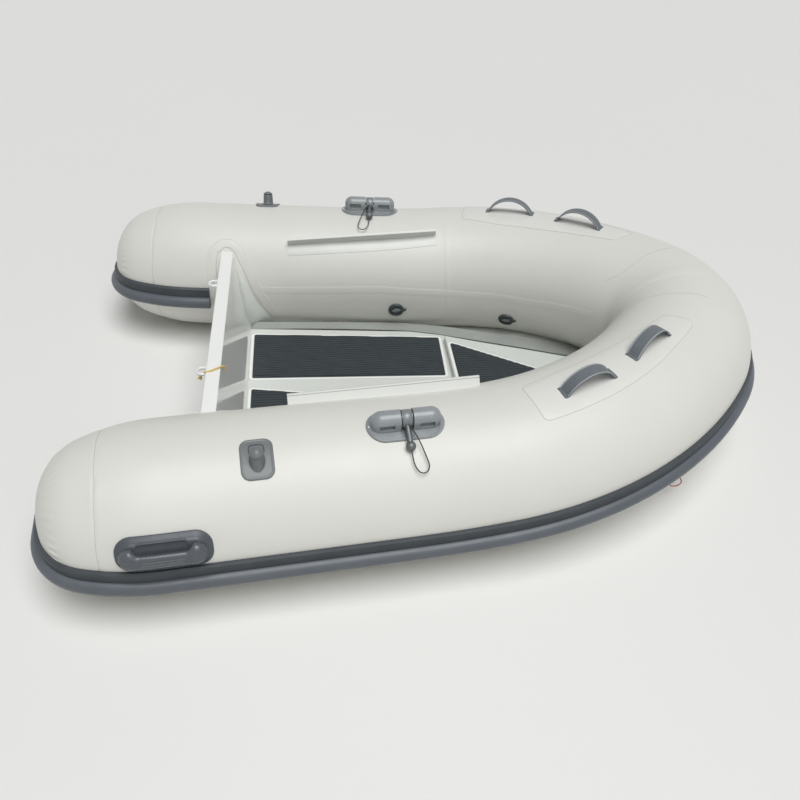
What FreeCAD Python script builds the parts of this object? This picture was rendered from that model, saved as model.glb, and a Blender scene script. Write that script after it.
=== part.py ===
import FreeCAD, Part
import math
import os
import re
import Sketcher

# Small rigid inflatable tender, afloat, in millimetres.
# X runs forward to the bow, Y to port and Z up. The origin is on the centreline at the waterline, level with
# the tips of the stern cones. Port pieces are drawn, and starboard pieces are their mirror images.

V = FreeCAD.Vector
Place = FreeCAD.Placement
Turn = FreeCAD.Rotation
AX, AY, AZ = V(1, 0, 0), V(0, 1, 0), V(0, 0, 1)

os.makedirs("parts", exist_ok=True)
doc = FreeCAD.newDocument("Tender")

# Driving sizes in millimetres or degrees: name, value, what it is
SIZES = [
    ("tube_radius", 210, "radius of the inflated tube"),
    ("tube_height", 200, "height of the tube's axis aft, above the waterline"),
    ("half_spacing", 607, "centreline of the boat to the tube's axis at the stern tips"),
    ("taper", 5.5, "angle by which each side tube closes in towards the bow, from above"),
    ("cone_flat", 31, "radius of the flat end of the stern cone"),
    ("cone_corner", 157, "radius of the stern cone's corner"),
    ("cone_side", 538, "radius of the stern cone's side"),
    ("knee_start", 874, "distance along the tube's axis where it begins to rise"),
    ("knee_radius", 2700, "radius of the bend that lifts the bow"),
    ("bow_tilt", 5.1, "angle by which the bow rises"),
    ("quarter_radius", 885, "radius of the tube's axis round the bow quarter"),
    ("nose_radius", 266, "radius of the tube's axis round the nose"),
    ("nose_past", 4, "angle by which the nose runs past the centreline before it is cut there"),
    ("rail_roll", 3.3, "roll of the rail about the tube, inner side up"),
    ("rail_top", 16, "top of the rail above the tube's equator, in the rolled frame"),
    ("rail_bury", 14, "depth to which the raw rail reaches into the tube before it is trimmed"),
    ("band_height", 31, "height of the rail's flat band"),
    ("band_stand", 9, "how far the flat band stands out of the tube"),
    ("band_bevel", 4, "bevel on the flat band's top edge"),
    ("bead_radius", 20, "radius of the rail's half round bead"),
    ("bead_stand", 7, "how far the bead's centre lies outside the tube's radius"),
    ("rail_inner_end", 345, "distance along the axis at which the rail ends inboard"),
    ("transom_x", 372, "station of the transom's aft top edge"),
    ("transom_top", 340, "height of the transom's top"),
    ("transom_thick", 37, "thickness of the transom"),
    ("transom_rake", 11, "rake of the transom, top aft"),
    ("deck_top", 103, "height of the deck's upper face"),
    ("deck_thick", 4, "thickness of the deck plate"),
    ("guard_half", 15, "half width of the keel guard"),
    ("guard_depth", 6, "depth of the keel guard below the keel"),
    ("strake_depth", 14, "depth of the spray strakes"),
    ("pad_thick", 5, "thickness of the deck pads"),
    ("pad_corner", 6, "corner radius of the deck pads"),
    ("step_rise", 22, "height of the bow step above the deck"),
    ("step_slit", 5, "height of the slit at the foot of the bow step"),
    ("step_inset", 9, "depth of that slit"),
    ("step_round", 3, "rounding of the bow step's top edge"),
    ("knee_thick", 4, "thickness of the corner knees"),
    ("lug_x", 360, "station of the lifting eyes' holes"),
    ("lug_y", 224.6, "distance of the lifting eyes from the centreline"),
    ("lug_z", 331, "height of the lifting eyes"),
    ("lug_hole", 11, "radius of the hole in a lifting eye"),
    ("lug_outer", 14.5, "outer radius of a lifting eye"),
    ("lug_root", 30, "half width of a lifting eye at the transom"),
    ("lug_thick", 5, "thickness of a lifting eye"),
    ("seat_aft", 595.7, "distance along the axis to the seat rail's aft end"),
    ("seat_fore", 1105, "distance along the axis to the seat rail's fore end"),
    ("seat_aft_angle", 128.2, "angle round the tube of the seat rail's aft end"),
    ("seat_fore_angle", 116, "angle round the tube of the seat rail's fore end"),
    ("seat_base", 48, "width of the seat rail's base"),
    ("seat_plate", 4, "thickness of the seat rail's base"),
    ("seat_lip", 27, "height of the seat rail's lip above the tube"),
    ("seat_lip_thick", 11, "thickness of the seat rail's lip"),
    ("bury", 6, "depth to which a fitting reaches into the tube before it is trimmed"),
    ("lock_at", 871, "distance along the axis to the oarlock"),
    ("lock_angle", 80.2, "angle of the oarlock round the tube"),
    ("lock_length", 190, "length of the oarlock's base"),
    ("lock_width", 91, "width of the oarlock's base"),
    ("lock_plate", 5, "thickness of the oarlock's base over the tube"),
    ("lock_axis", 24, "height of the oarlock pin's hinge over the tube"),
    ("block_radius", 23, "radius of the oarlock's housings"),
    ("block_end", 84, "middle of the oarlock to the end of a housing"),
    ("hub_half", 13, "half length of the oarlock pin's hub"),
    ("hub_radius", 21, "radius of the oarlock pin's hub"),
    ("hub_play", 2, "clearance between the hub and each housing"),
    ("axle_radius", 5, "radius of the oarlock pin's axle"),
    ("axle_play", 0.05, "radial clearance of the axle in the housings"),
    ("axle_reach", 34, "middle of the oarlock to the end of the axle"),
    ("rod_radius", 7, "radius of the oarlock pin"),
    ("rod_length", 71, "hinge to the ball at the oarlock pin's end"),
    ("rod_droop", 17.5, "slope of the folded oarlock pin"),
    ("ball_radius", 12, "radius of that ball"),
    ("peg_at", 517, "distance along the axis to the oar peg"),
    ("peg_angle", 66.5, "angle of the oar peg round the tube"),
    ("peg_length", 77, "length of the peg's plate, along the tube"),
    ("peg_width", 101, "width of the peg's plate, round the tube"),
    ("peg_corner", 22, "corner radius of the peg's plate"),
    ("peg_root", 18, "radius of the peg at its plate"),
    ("peg_top", 15.5, "radius of the peg at its shoulder"),
    ("peg_shoulder", 37, "height of the peg's shoulder"),
    ("peg_height", 50, "height of the peg"),
    ("strap_width", 38.5, "width of the strap handles"),
    ("strap_thick", 3, "thickness of the strap handles"),
    ("strap_foot", 26, "length of a strap's flat foot"),
    ("strap_run", 76, "middle of a strap to the start of its foot"),
    ("strap_rise", 43, "rise of a strap between its feet"),
    ("strap_tight", 8, "radius of the strap's bend at a foot"),
    ("strap_sink", 1, "depth to which a raw strap foot reaches into the tube"),
    ("strap_aft_at", 1362.5, "distance along the axis to the aft strap handle"),
    ("strap_aft_angle", 83, "angle of the aft strap handle round the tube"),
    ("strap_fore_at", 1595.5, "distance along the axis to the fore strap handle"),
    ("strap_fore_angle", 87, "angle of the fore strap handle round the tube"),
    ("grab_at", 296, "distance along the axis to the grab handle"),
    ("grab_angle", 14.5, "angle of the grab handle round the tube"),
    ("grab_tilt", 2.2, "tilt of the grab handle, to follow the stern cone"),
    ("grab_length", 215, "length of the grab handle's plate"),
    ("grab_width", 94, "width of the grab handle's plate"),
    ("grab_plate", 5, "thickness of the grab handle's plate"),
    ("grab_inset", 12, "edge of the plate to the handle's moulding"),
    ("grab_height", 38, "height of the grab handle"),
    ("grab_slot", 104, "length of the finger slot"),
    ("grab_bar", 17, "thickness of the bar over the finger slot"),
    ("valve_flange", 31, "radius of a valve's flange"),
    ("valve_cap", 22, "radius of a valve's cap"),
    ("valve_height", 10, "height of a valve's cap"),
    ("valve_aft_at", 969, "distance along the axis to the aft valve"),
    ("valve_aft_angle", 190.4, "angle of the aft valve round the tube"),
    ("valve_fore_at", 1408, "distance along the axis to the fore valve"),
    ("valve_fore_angle", 201, "angle of the fore valve round the tube"),
    ("tow_at", 1608, "distance along the axis to the tow ring"),
    ("tow_angle", -48, "angle of the tow ring round the tube"),
    ("tow_patch", 34, "radius of the tow ring's patch"),
    ("tow_ring", 15, "radius of the tow ring, to the middle of its bar"),
    ("tow_bar", 3, "radius of the tow ring's bar"),
    ("eye_outer", 20, "outer radius of the bow eye"),
    ("eye_hole", 8, "radius of the bow eye's hole"),
    ("eye_thick", 10, "thickness of the bow eye"),
    ("plug_radius", 20, "radius of the drain fitting's flange"),
]
NAMES = {name for name, value, note in SIZES}

sheet = doc.addObject("Spreadsheet::Sheet", "Sizes")
for row, (name, value, note) in enumerate(SIZES, start=1):
    sheet.set(f"A{row}", name)
    sheet.set(f"B{row}", str(value))
    sheet.set(f"C{row}", note)
    sheet.setAlias(f"B{row}", name)
doc.recompute()


def bound(text):
    """A formula of size names, as an expression on the sheet."""
    return re.sub(r"[a-z_]+", lambda word: "Sizes." + word.group() if word.group() in NAMES else word.group(), text)


def val(text):
    """The value of a formula of size names."""
    return float(sheet.evalExpression(bound(text)))


# Formulas that several pieces share
CONE_SPAN = "sqrt((cone_side - cone_corner)^2 - (cone_flat + cone_side - tube_radius)^2)"
CONE_LENGTH = f"(cone_corner + {CONE_SPAN})"
CONE_TURN = f"asin({CONE_SPAN}/(cone_side - cone_corner))"
QUARTER_TURN = (
    "(acos((sin(taper)*(knee_start + knee_radius*sin(bow_tilt)) + quarter_radius*cos(taper) - half_spacing)"
    "/((quarter_radius - nose_radius)*sqrt(cos(taper)^2 + (sin(taper)*cos(bow_tilt))^2)))"
    " - atan(tan(taper)*cos(bow_tilt)))"
)
NOSE_TURN = f"(90 deg + (nose_past - taper)*1 deg - {QUARTER_TURN})"

RADIUS = val("tube_radius")
CONE = val(CONE_LENGTH)
STRAIGHT = val("knee_start")
KNEE = val("knee_radius")
TILT = val("bow_tilt")
QUARTER = val("quarter_radius")
NOSE = val("nose_radius")
QUARTER_ANGLE = val(QUARTER_TURN)
KNEE_LENGTH = KNEE * math.radians(TILT)
QUARTER_LENGTH = QUARTER * math.radians(QUARTER_ANGLE)

# Frames along the port tube's axis: stern tip, end of the knee, start of the nose.
# X runs forward along the axis, Y outboard and Z up.
STERN = Place(V(0, val("half_spacing"), val("tube_height")), Turn(AZ, -val("taper")))
ROLLED = STERN * Place(V(), Turn(AX, -val("rail_roll")))
BOW = STERN * Place(
    V(STRAIGHT + KNEE * math.sin(math.radians(TILT)), 0, KNEE * (1 - math.cos(math.radians(TILT)))),
    Turn(AY, -TILT),
)


def along_bend(radius, angle):
    """Placement after a level bend towards the boat's middle, from the bend's own start."""
    a = math.radians(angle)
    return Place(V(radius * math.sin(a), -radius * (1 - math.cos(a)), 0), Turn(AZ, -angle))


NOSE_START = BOW * along_bend(QUARTER, QUARTER_ANGLE)


def on_axis(distance):
    """Placement on the port tube's axis at a distance along it from the stern tip."""
    if distance <= STRAIGHT:
        return STERN * Place(V(distance, 0, 0), Turn())
    distance -= STRAIGHT
    if distance <= KNEE_LENGTH:
        a = distance / KNEE
        return STERN * Place(
            V(STRAIGHT + KNEE * math.sin(a), 0, KNEE * (1 - math.cos(a))), Turn(AY, -math.degrees(a))
        )
    distance -= KNEE_LENGTH
    if distance <= QUARTER_LENGTH:
        return BOW * along_bend(QUARTER, math.degrees(distance / QUARTER))
    distance -= QUARTER_LENGTH
    return NOSE_START * along_bend(NOSE, math.degrees(distance / NOSE))


def on_tube(distance, angle):
    """Placement on the port tube's skin: X forward, Z out of the skin.

    The angle is measured round the tube from its outboard side, upwards."""
    a = math.radians(angle)
    out = V(0, math.cos(a), math.sin(a))
    return on_axis(distance) * Place(out * RADIUS, Turn(AX, out.cross(AX), out, "ZXY"))


# Helpers that make bodies, sketches and features
def new_body(label, placement=Place()):
    body = doc.addObject("PartDesign::Body", label)
    body.Label = label
    body.Placement = placement
    return body


def new_sketch(body, role, lift="0"):
    """Sketch on an origin plane of its own body, lifted off it by a formula."""
    sketch = body.newObject("Sketcher::SketchObject", "Sketch")
    plane = [item for item in body.Origin.OriginFeatures if item.Role == role][0]
    sketch.AttachmentSupport = [(plane, "")]
    sketch.MapMode = "FlatFace"
    sketch.AttachmentOffset = Place(V(0, 0, val(lift)), Turn())
    sketch.setExpression("AttachmentOffset.Base.z", bound(lift))
    return sketch


def fix_point(sketch, geometry, point, x, y):
    """Ties one point of a sketch to two formulas, measured from the sketch's origin."""
    for kind, text in (("DistanceX", x), ("DistanceY", y)):
        index = sketch.addConstraint(Sketcher.Constraint(kind, -1, 1, geometry, point, val(text)))
        sketch.setExpression(f"Constraints[{index}]", bound(text))


def draw_outline(sketch, corners):
    """Closed outline of lines and arcs through corners.

    A corner is a pair of formulas, or for an arc to the next corner also a radius and the side of its centre,
    1 for left and -1 for right."""
    first = sketch.GeometryCount
    points = [V(val(corner[0]), val(corner[1]), 0) for corner in corners]
    ends = []
    for i, corner in enumerate(corners):
        start, end = points[i], points[(i + 1) % len(points)]
        if len(corner) == 2:
            sketch.addGeometry(Part.LineSegment(start, end), False)
            ends.append((1, 2))
            continue
        radius, side = val(corner[2]), corner[3]
        chord = end - start
        left = V(-chord.y, chord.x, 0).normalize()
        middle = (start + end) * 0.5
        sagitta = radius - math.sqrt(radius * radius - chord.Length * chord.Length / 4)
        sketch.addGeometry(Part.Arc(start, middle - left * side * sagitta, end), False)
        ends.append((1, 2) if side > 0 else (2, 1))
    for i, corner in enumerate(corners):
        after = (i + 1) % len(corners)
        sketch.addConstraint(
            Sketcher.Constraint("Coincident", first + i, ends[i][1], first + after, ends[after][0])
        )
        fix_point(sketch, first + i, ends[i][0], corner[0], corner[1])
        if len(corner) > 2:
            index = sketch.addConstraint(Sketcher.Constraint("Radius", first + i, val(corner[2])))
            sketch.setExpression(f"Constraints[{index}]", bound(corner[2]))


def draw_circle(sketch, radius, x="0", y="0"):
    """Circle whose centre and radius are formulas."""
    geometry = sketch.addGeometry(Part.Circle(V(val(x), val(y), 0), AZ, val(radius)), False)
    fix_point(sketch, geometry, 3, x, y)
    index = sketch.addConstraint(Sketcher.Constraint("Radius", geometry, val(radius)))
    sketch.setExpression(f"Constraints[{index}]", bound(radius))


def draw_axis(sketch, start, end):
    """Construction line that a revolution turns about."""
    ends = [V(val(x), val(y), 0) for x, y in (start, end)]
    geometry = sketch.addGeometry(Part.LineSegment(*ends), True)
    fix_point(sketch, geometry, 1, *start)
    fix_point(sketch, geometry, 2, *end)


def rectangle(half_x, half_y):
    return [(f"-{half_x}", f"-{half_y}"), (half_x, f"-{half_y}"), (half_x, half_y), (f"-{half_x}", half_y)]


def add_pad(body, sketch, length, midplane=False):
    pad = body.newObject("PartDesign::Pad", "Pad")
    pad.Profile = sketch
    pad.setExpression("Length", bound(length))
    pad.Midplane = midplane
    return pad


def add_revolution(body, sketch, angle, axis="Axis0"):
    turn = body.newObject("PartDesign::Revolution", "Revolution")
    turn.Profile = sketch
    turn.ReferenceAxis = (sketch, [axis])
    turn.setExpression("Angle", bound(angle))
    return turn


def add_fillet(body, base, radius, wanted):
    """Rounds those edges of a feature that a test picks out."""
    doc.recompute()
    names = [f"Edge{i}" for i, edge in enumerate(base.Shape.Edges, start=1) if wanted(edge)]
    fillet = body.newObject("PartDesign::Fillet", "Fillet")
    fillet.Base = (base, names)
    fillet.setExpression("Radius", bound(radius))
    return fillet


def upright(edge):
    """True for a straight edge along the feature's own Z."""
    ends = [vertex.Point for vertex in edge.Vertexes]
    return len(ends) == 2 and abs((ends[1] - ends[0]).normalize().z) > 0.999


def at_height(height):
    """Test for edges that lie wholly at one height of the feature's own frame."""
    return lambda edge: abs(edge.BoundBox.ZMin - height) < 0.01 and abs(edge.BoundBox.ZMax - height) < 0.01


def joined(kind, label, pieces):
    """Boolean of several pieces: Part::MultiFuse or Part::MultiCommon."""
    result = doc.addObject(kind, label)
    result.Label = label
    result.Shapes = pieces
    result.Refine = True
    return result


def cut(label, base, *tools):
    """Piece less its tools, one after the other."""
    result = base
    for i, tool in enumerate(tools, start=1):
        last = i == len(tools)
        step = doc.addObject("Part::Cut", label if last else f"{label}Step{i}")
        step.Base = result
        step.Tool = tool
        step.Refine = True
        result = step
    result.Label = label
    return result


def cylinder(label, placement, radius, height):
    """Cylinder along its placement's Z."""
    piece = doc.addObject("Part::Cylinder", label)
    piece.setExpression("Radius", bound(radius))
    piece.setExpression("Height", bound(height))
    piece.Placement = placement
    return piece


def box(label, placement, corner, size):
    """Box from a corner, both given as formulas in the placement's frame."""
    piece = doc.addObject("Part::Box", label)
    for name, text in zip(("Length", "Width", "Height"), size):
        piece.setExpression(name, bound(text))
    piece.Placement = placement * Place(V(*[val(text) for text in corner]), Turn())
    return piece


def shape_piece(label, shape):
    """Piece whose shape is worked out here, because it follows a path in space."""
    piece = doc.addObject("Part::Feature", label)
    piece.Label = label
    piece.Shape = shape
    return piece


def mirrored(source, label):
    """Mirror image of a port piece, for starboard."""
    copy = doc.addObject("Part::Mirroring", label)
    copy.Label = label
    copy.Source = source
    copy.Base = V(0, 0, 0)
    copy.Normal = AY
    return copy


EXPORTED = []


def keep(*pieces):
    """Lists pieces for export."""
    EXPORTED.extend(pieces)


def keep_both(port, stem):
    """Lists a port piece and its mirror image for export."""
    port.Label = stem + "_port"
    keep(port, mirrored(port, stem + "_starboard"))


REACH = "3000"
starboard_space = box("StarboardSpace", Place(), (f"-{REACH}", f"-{REACH}", f"-{REACH}"),
                      (f"2*{REACH}", REACH, f"2*{REACH}"))


# Inflated tube
def make_cone():
    """Stern cone: flat end, corner arc and side arc, revolved about the tube's axis."""
    body = new_body("stern_cone_port", STERN)
    sketch = new_sketch(body, "XZ_Plane")
    draw_outline(sketch, [
        ("0", "0"),
        ("0", "cone_flat", "cone_corner", -1),
        (f"{CONE_LENGTH} - cone_side*sin({CONE_TURN})", f"tube_radius - cone_side + cone_side*cos({CONE_TURN})",
         "cone_side", -1),
        (CONE_LENGTH, "tube_radius"),
        (CONE_LENGTH, "0"),
    ])
    add_revolution(body, sketch, "360", "H_Axis")
    return body


def make_side_tube():
    """Straight side tube, and the gentle bend that lifts the bow."""
    body = new_body("side_tube_port", STERN * Place(V(CONE, 0, 0), Turn()))
    sketch = new_sketch(body, "YZ_Plane")
    draw_circle(sketch, "tube_radius")
    add_pad(body, sketch, f"knee_start - {CONE_LENGTH}")
    sketch = new_sketch(body, "YZ_Plane", f"knee_start - {CONE_LENGTH}")
    draw_circle(sketch, "tube_radius")
    draw_axis(sketch, ("tube_radius", "knee_radius"), ("-tube_radius", "knee_radius"))
    add_revolution(body, sketch, "bow_tilt")
    return body


def make_bend(label, placement, radius, angle):
    """Level bend of the tube towards the boat's middle."""
    body = new_body(label, placement)
    sketch = new_sketch(body, "YZ_Plane")
    draw_circle(sketch, "tube_radius")
    draw_axis(sketch, (f"-{radius}", "tube_radius"), (f"-{radius}", "-tube_radius"))
    add_revolution(body, sketch, angle)
    return body


cone = make_cone()
side_tube = make_side_tube()
quarter = make_bend("bow_quarter_port", BOW, "quarter_radius", QUARTER_TURN)
nose_bend = make_bend("NoseBend", NOSE_START, "nose_radius", NOSE_TURN)
nose = cut("bow_nose_port", nose_bend, starboard_space)
tube = joined("Part::MultiFuse", "PortTube", [cone, side_tube, quarter, nose])
tubes = joined("Part::MultiFuse", "BothTubes", [tube, mirrored(tube, "StarboardTube")])
keep_both(cone, "stern_cone")
keep_both(side_tube, "side_tube")
keep_both(quarter, "bow_quarter")
keep_both(nose, "bow_nose")


# Rub rail
def run_along(face, steps):
    """Solid that a face sweeps along straight runs and bends, each given in the boat's frame."""
    solids = []
    for step in steps:
        if len(step) == 1:
            solids.append(face.extrude(step[0]))
            face = face.translated(step[0])
        else:
            solids.append(face.revolve(*step))
            face = face.rotated(*step)
    return solids[0].multiFuse(solids[1:]).removeSplitter()


def rail_steps():
    """The rail's way round the port tube, from its inboard stern end round the cone to past the nose."""
    flat, corner, side = val("cone_flat"), val("cone_corner"), val("cone_side")
    turn = val(CONE_TURN)
    turned = ROLLED.Rotation.multVec
    up = turned(AZ)
    bow_up = BOW.Rotation.multVec(AZ)
    return [
        (turned(V(CONE - val("rail_inner_end"), 0, 0)),),
        (ROLLED.multVec(V(CONE, side - RADIUS, 0)), up, -turn),
        (ROLLED.multVec(V(corner, -flat, 0)), up, turn - 90),
        (turned(V(0, 2 * flat, 0)),),
        (ROLLED.multVec(V(corner, flat, 0)), up, turn - 90),
        (ROLLED.multVec(V(CONE, RADIUS - side, 0)), up, -turn),
        (turned(V(STRAIGHT - CONE, 0, 0)),),
        (STERN.multVec(V(STRAIGHT, 0, KNEE)), STERN.Rotation.multVec(AY), -TILT),
        (BOW.multVec(V(0, -QUARTER, 0)), bow_up, -QUARTER_ANGLE),
        (NOSE_START.multVec(V(0, -NOSE, 0)), bow_up, -val(NOSE_TURN)),
    ]


def band_edges():
    """Flat band with a bevelled top edge. The first axis points out of the tube and the second up."""
    back, face = val("tube_radius - rail_bury"), val("tube_radius + band_stand")
    bottom, top, bevel = val("rail_top - band_height"), val("rail_top"), val("band_bevel")
    corners = [V(back, bottom, 0), V(face, bottom, 0), V(face, top - bevel, 0), V(face - bevel, top, 0),
               V(back, top, 0)]
    return Part.makePolygon(corners + corners[:1]).Edges


def bead_edges():
    """Half round bead under the flat band."""
    back, middle = val("tube_radius - rail_bury"), val("tube_radius + bead_stand")
    radius, top = val("bead_radius"), val("rail_top - band_height")
    corners = [V(middle, top - 2 * radius, 0), V(back, top - 2 * radius, 0), V(back, top, 0), V(middle, top, 0)]
    nose_point = V(middle + radius, top - radius, 0)
    return Part.makePolygon(corners).Edges + [Part.Arc(corners[3], nose_point, corners[0]).toShape()]


def make_rail(stem, edges):
    face = Part.Face(Part.Wire(edges))
    inboard = Turn(AY.negative(), AZ, AX.negative(), "ZXY")
    face.Placement = ROLLED * Place(V(val("rail_inner_end"), 0, 0), inboard)
    raw = shape_piece(stem + "_raw", run_along(face, rail_steps()))
    keep_both(cut(stem, raw, starboard_space, tube), stem)


make_rail("rail_band", band_edges())
make_rail("rail_bead", bead_edges())

# Transom: X points forward out of its fore face, Z up along its slope
TRANSOM = Place(V(val("transom_x"), 0, val("transom_top")), Turn(AY, -val("transom_rake")))
aft_space = box("AftSpace", TRANSOM, (f"-{REACH}", f"-{REACH}", f"-{REACH}"),
                (f"{REACH} + transom_thick", f"2*{REACH}", f"2*{REACH}"))

# Hull stations, in millimetres in the boat's frame. The flange is where the side meets the tube from below.
HULL = [
    # station, keel z, chine y, chine z, flange y, flange z, deck y
    (440, -125, 404, -35, 456, 40, 304),
    (990, -122, 368, -28, 402, 46, 264),
    (1100, -113, 342, -20, 388, 50, 236),
    (1230, -97, 300, -5, 362, 57, 188),
    (1360, -70, 240, 14, 318, 74, 144),
    (1490, -27, 165, 38, 240, 88, 98),
    (1570, 15, 110, 58, 170, 95, 66),
    (1660, 80, 44, 86, 72, 96, 30),
]
HULL_TOP = "(deck_top - deck_thick)"


def add_loft(body, stations, corners):
    """Loft with straight generators through outlines that a function gives for each station."""
    sketches = []
    for station in stations:
        sketch = new_sketch(body, "YZ_Plane", str(station[0]))
        draw_outline(sketch, corners(*station))
        sketches.append(sketch)
    loft = body.newObject("PartDesign::AdditiveLoft", "Loft")
    loft.Profile = sketches[0]
    loft.Sections = sketches[1:]
    loft.Ruled = True
    return loft


def hull_outline(station, keel_z, chine_y, chine_z, flange_y, flange_z, deck_y):
    right = [(f"{chine_y}", f"{chine_z}"), (f"{flange_y}", f"{flange_z}"), (f"{deck_y}", HULL_TOP)]
    left = [(f"-{y}", z) for y, z in reversed(right)]
    return [("0", f"{keel_z}")] + right + left


def strake_outline(station, keel_z, chine_y, chine_z, flange_y, flange_z, deck_y):
    """Triangle on the bottom, half way from the keel to the chine, with its root just inside the plating."""
    rise = (chine_z - keel_z) / chine_y
    inner, outer = 0.48 * chine_y, 0.60 * chine_y
    return [(f"{inner}", f"{keel_z + rise * inner + 1}"), (f"{outer}", f"{keel_z + rise * outer} - strake_depth"),
            (f"{outer}", f"{keel_z + rise * outer + 1}")]


hull_body = new_body("HullBody")
add_loft(hull_body, HULL, hull_outline)
hull = cut("hull", hull_body, aft_space, tubes)
keep(hull)

strake_body = new_body("StrakeBody")
add_loft(strake_body, HULL[:5], strake_outline)
keep_both(cut("spray_strake", strake_body, aft_space, hull_body), "spray_strake")

guard_body = new_body("GuardBody")
sketch = new_sketch(guard_body, "XZ_Plane")
keel = [(station[0], station[1]) for station in HULL[:7]]
draw_outline(sketch, [(f"{x}", f"{z} - guard_depth") for x, z in keel] + [(f"{x}", f"{z + 8}") for x, z in keel[::-1]])
add_pad(guard_body, sketch, "2*guard_half", midplane=True)
keep(cut("keel_guard", guard_body, aft_space, hull_body))

transom_body = new_body("TransomBody", TRANSOM)
sketch = new_sketch(transom_body, "YZ_Plane")
SLOPE = "/cos(transom_rake)"
right = [(f"{y}", f"({z} - transom_top){SLOPE}") for y, z in (HULL[0][2:4], HULL[0][4:6])]
right.append((f"{HULL[0][4]}", "transom_thick/2"))
left = [(f"-{y}", z) for y, z in reversed(right)]
draw_outline(sketch, [("0", f"({HULL[0][1]} - transom_top){SLOPE}")] + right + left)
add_pad(transom_body, sketch, "transom_thick")
above_transom = box("AboveTransom", Place(), (f"-{REACH}", f"-{REACH}", "transom_top"),
                    (f"2*{REACH}", f"2*{REACH}", REACH))
transom = cut("transom", transom_body, above_transom, tubes)
keep(transom)

# Corner knees: folded plates from the transom's fore face to the tube and down to the flange. The two
# points on the tube's side lie inside the tube, which trims them.
KNEE_POINTS = {
    "head": (408, 424, 346),
    "fold_in": (437, 296, 197),
    "fold_out": (534, 402, 189),
    "foot_out": (548, 402, 40),
    "foot_in": (457, 303, 84),
}
KNEE_FACETS = [
    ("head", "fold_in", "fold_out"),
    ("fold_in", "foot_in", "fold_out"),
    ("foot_in", "foot_out", "fold_out"),
]


def make_corner_knee():
    inward = V(0.6, -0.6, 0.5).normalize() * val("knee_thick")
    facets = []
    for names in KNEE_FACETS:
        corners = [V(*KNEE_POINTS[name]) for name in names]
        facets.append(Part.Face(Part.makePolygon(corners + corners[:1])).extrude(inward))
    raw = shape_piece("corner_knee_raw", facets[0].multiFuse(facets[1:]).removeSplitter())
    keep_both(cut("corner_knee", raw, aft_space, tube, hull, deck_body), "corner_knee")


# Deck, step and pads
def level_plate(label, corners, bottom, thick, round_all="", round_top=""):
    """Flat level plate with an outline in the boat's plan."""
    body = new_body(label)
    sketch = new_sketch(body, "XY_Plane", bottom)
    draw_outline(sketch, corners)
    pad = add_pad(body, sketch, thick)
    if round_all:
        add_fillet(body, pad, round_all, upright)
    if round_top:
        add_fillet(body, body.Tip, round_top, at_height(val(f"{bottom} + {thick}")))
    return body


def both_sides(corners):
    """Plan outline from its starboard half, given from aft to fore."""
    return [(x, f"-({y})") for x, y in corners] + [(x, y) for x, y in reversed(corners)]


DECK = [(f"{station[0]}", f"{station[6]}") for station in HULL[:7]]
deck_body = level_plate("DeckBody", both_sides(DECK), HULL_TOP, "deck_thick")
keep(cut("deck_plate", deck_body, aft_space))
make_corner_knee()

PORT_PAD = [
    # x, y
    ("467", "31"),
    ("1078", "15"),
    ("1084", "221"),
    ("467", "267"),
]
# The starboard pad's inner edge runs away from the centreline
STARBOARD_PAD = [
    # x, y
    ("467", "-267"),
    ("1084", "-221"),
    ("1078", "-132"),
    ("467", "-25"),
]
keep(level_plate("pad_port", PORT_PAD, "deck_top", "pad_thick", round_all="pad_corner"))
keep(level_plate("pad_starboard", STARBOARD_PAD, "deck_top", "pad_thick", round_all="pad_corner"))

STEP = [
    # x, half width
    ("1100", "203"),
    ("1230", "155"),
    ("1360", "111"),
    ("1490", "62"),
]
step_foot = level_plate("StepFoot", both_sides([(f"{x} + (1300 - {x})/200*step_inset", f"{y} - 1.2*step_inset")
                                                for x, y in STEP]), "deck_top", "step_slit")
step_lid = level_plate("StepLid", both_sides(STEP), "deck_top + step_slit", "step_rise - step_slit",
                       round_top="step_round")
keep(joined("Part::MultiFuse", "bow_step", [step_foot, step_lid]))

BOW_PAD = [
    # x, y
    ("1112", "-160"),
    ("1372", "0"),
    ("1112", "160"),
]
keep(level_plate("pad_bow", BOW_PAD, "deck_top + step_rise", "pad_thick", round_all="pad_corner"))


# Seat rails
def make_seat_rail():
    """Strip with a lip, straight between two places on the tube. Its base is trimmed by the tube."""
    plate, base = val("seat_plate"), val("seat_base")
    lip, lip_thick = val("seat_lip"), val("seat_lip_thick")
    under = -1.5 * val("bury")
    profile = [(0, under), (base, under), (base, plate), (lip_thick, plate), (lip_thick, lip), (0, lip)]
    aft = on_tube(val("seat_aft"), val("seat_aft_angle"))
    fore = on_tube(val("seat_fore"), val("seat_fore_angle"))
    middle = on_tube(val("seat_aft"), val("(seat_aft_angle + seat_fore_angle)/2"))
    frame = Place(aft.Base, middle.Rotation)
    points = [frame.multVec(V(0, -across, out)) for across, out in profile]
    face = Part.Face(Part.makePolygon(points + points[:1]))
    raw = shape_piece("seat_rail_raw", face.extrude(fore.Base - aft.Base))
    keep_both(cut("seat_rail", raw, side_tube), "seat_rail")


make_seat_rail()


# Fittings on the tube, each drawn in its own frame on the skin: X forward, Y round the tube, Z outwards
def skin_plate(label, placement, length, width, corner, thick):
    """Rounded plate that follows the straight tube's skin. Its back still has to be trimmed by the tube."""
    body = new_body(label + "Blank", placement)
    sketch = new_sketch(body, "XY_Plane")
    draw_outline(sketch, rectangle(f"{length}/2", f"{width}/2"))
    pad = add_pad(body, sketch, "6*bury", midplane=True)
    add_fillet(body, pad, corner, upright)
    shell = cylinder(label + "Shell", STERN * Place(V(), Turn(AY, 90)), f"tube_radius + {thick}", REACH)
    return joined("Part::MultiCommon", label, [body, shell])


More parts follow.
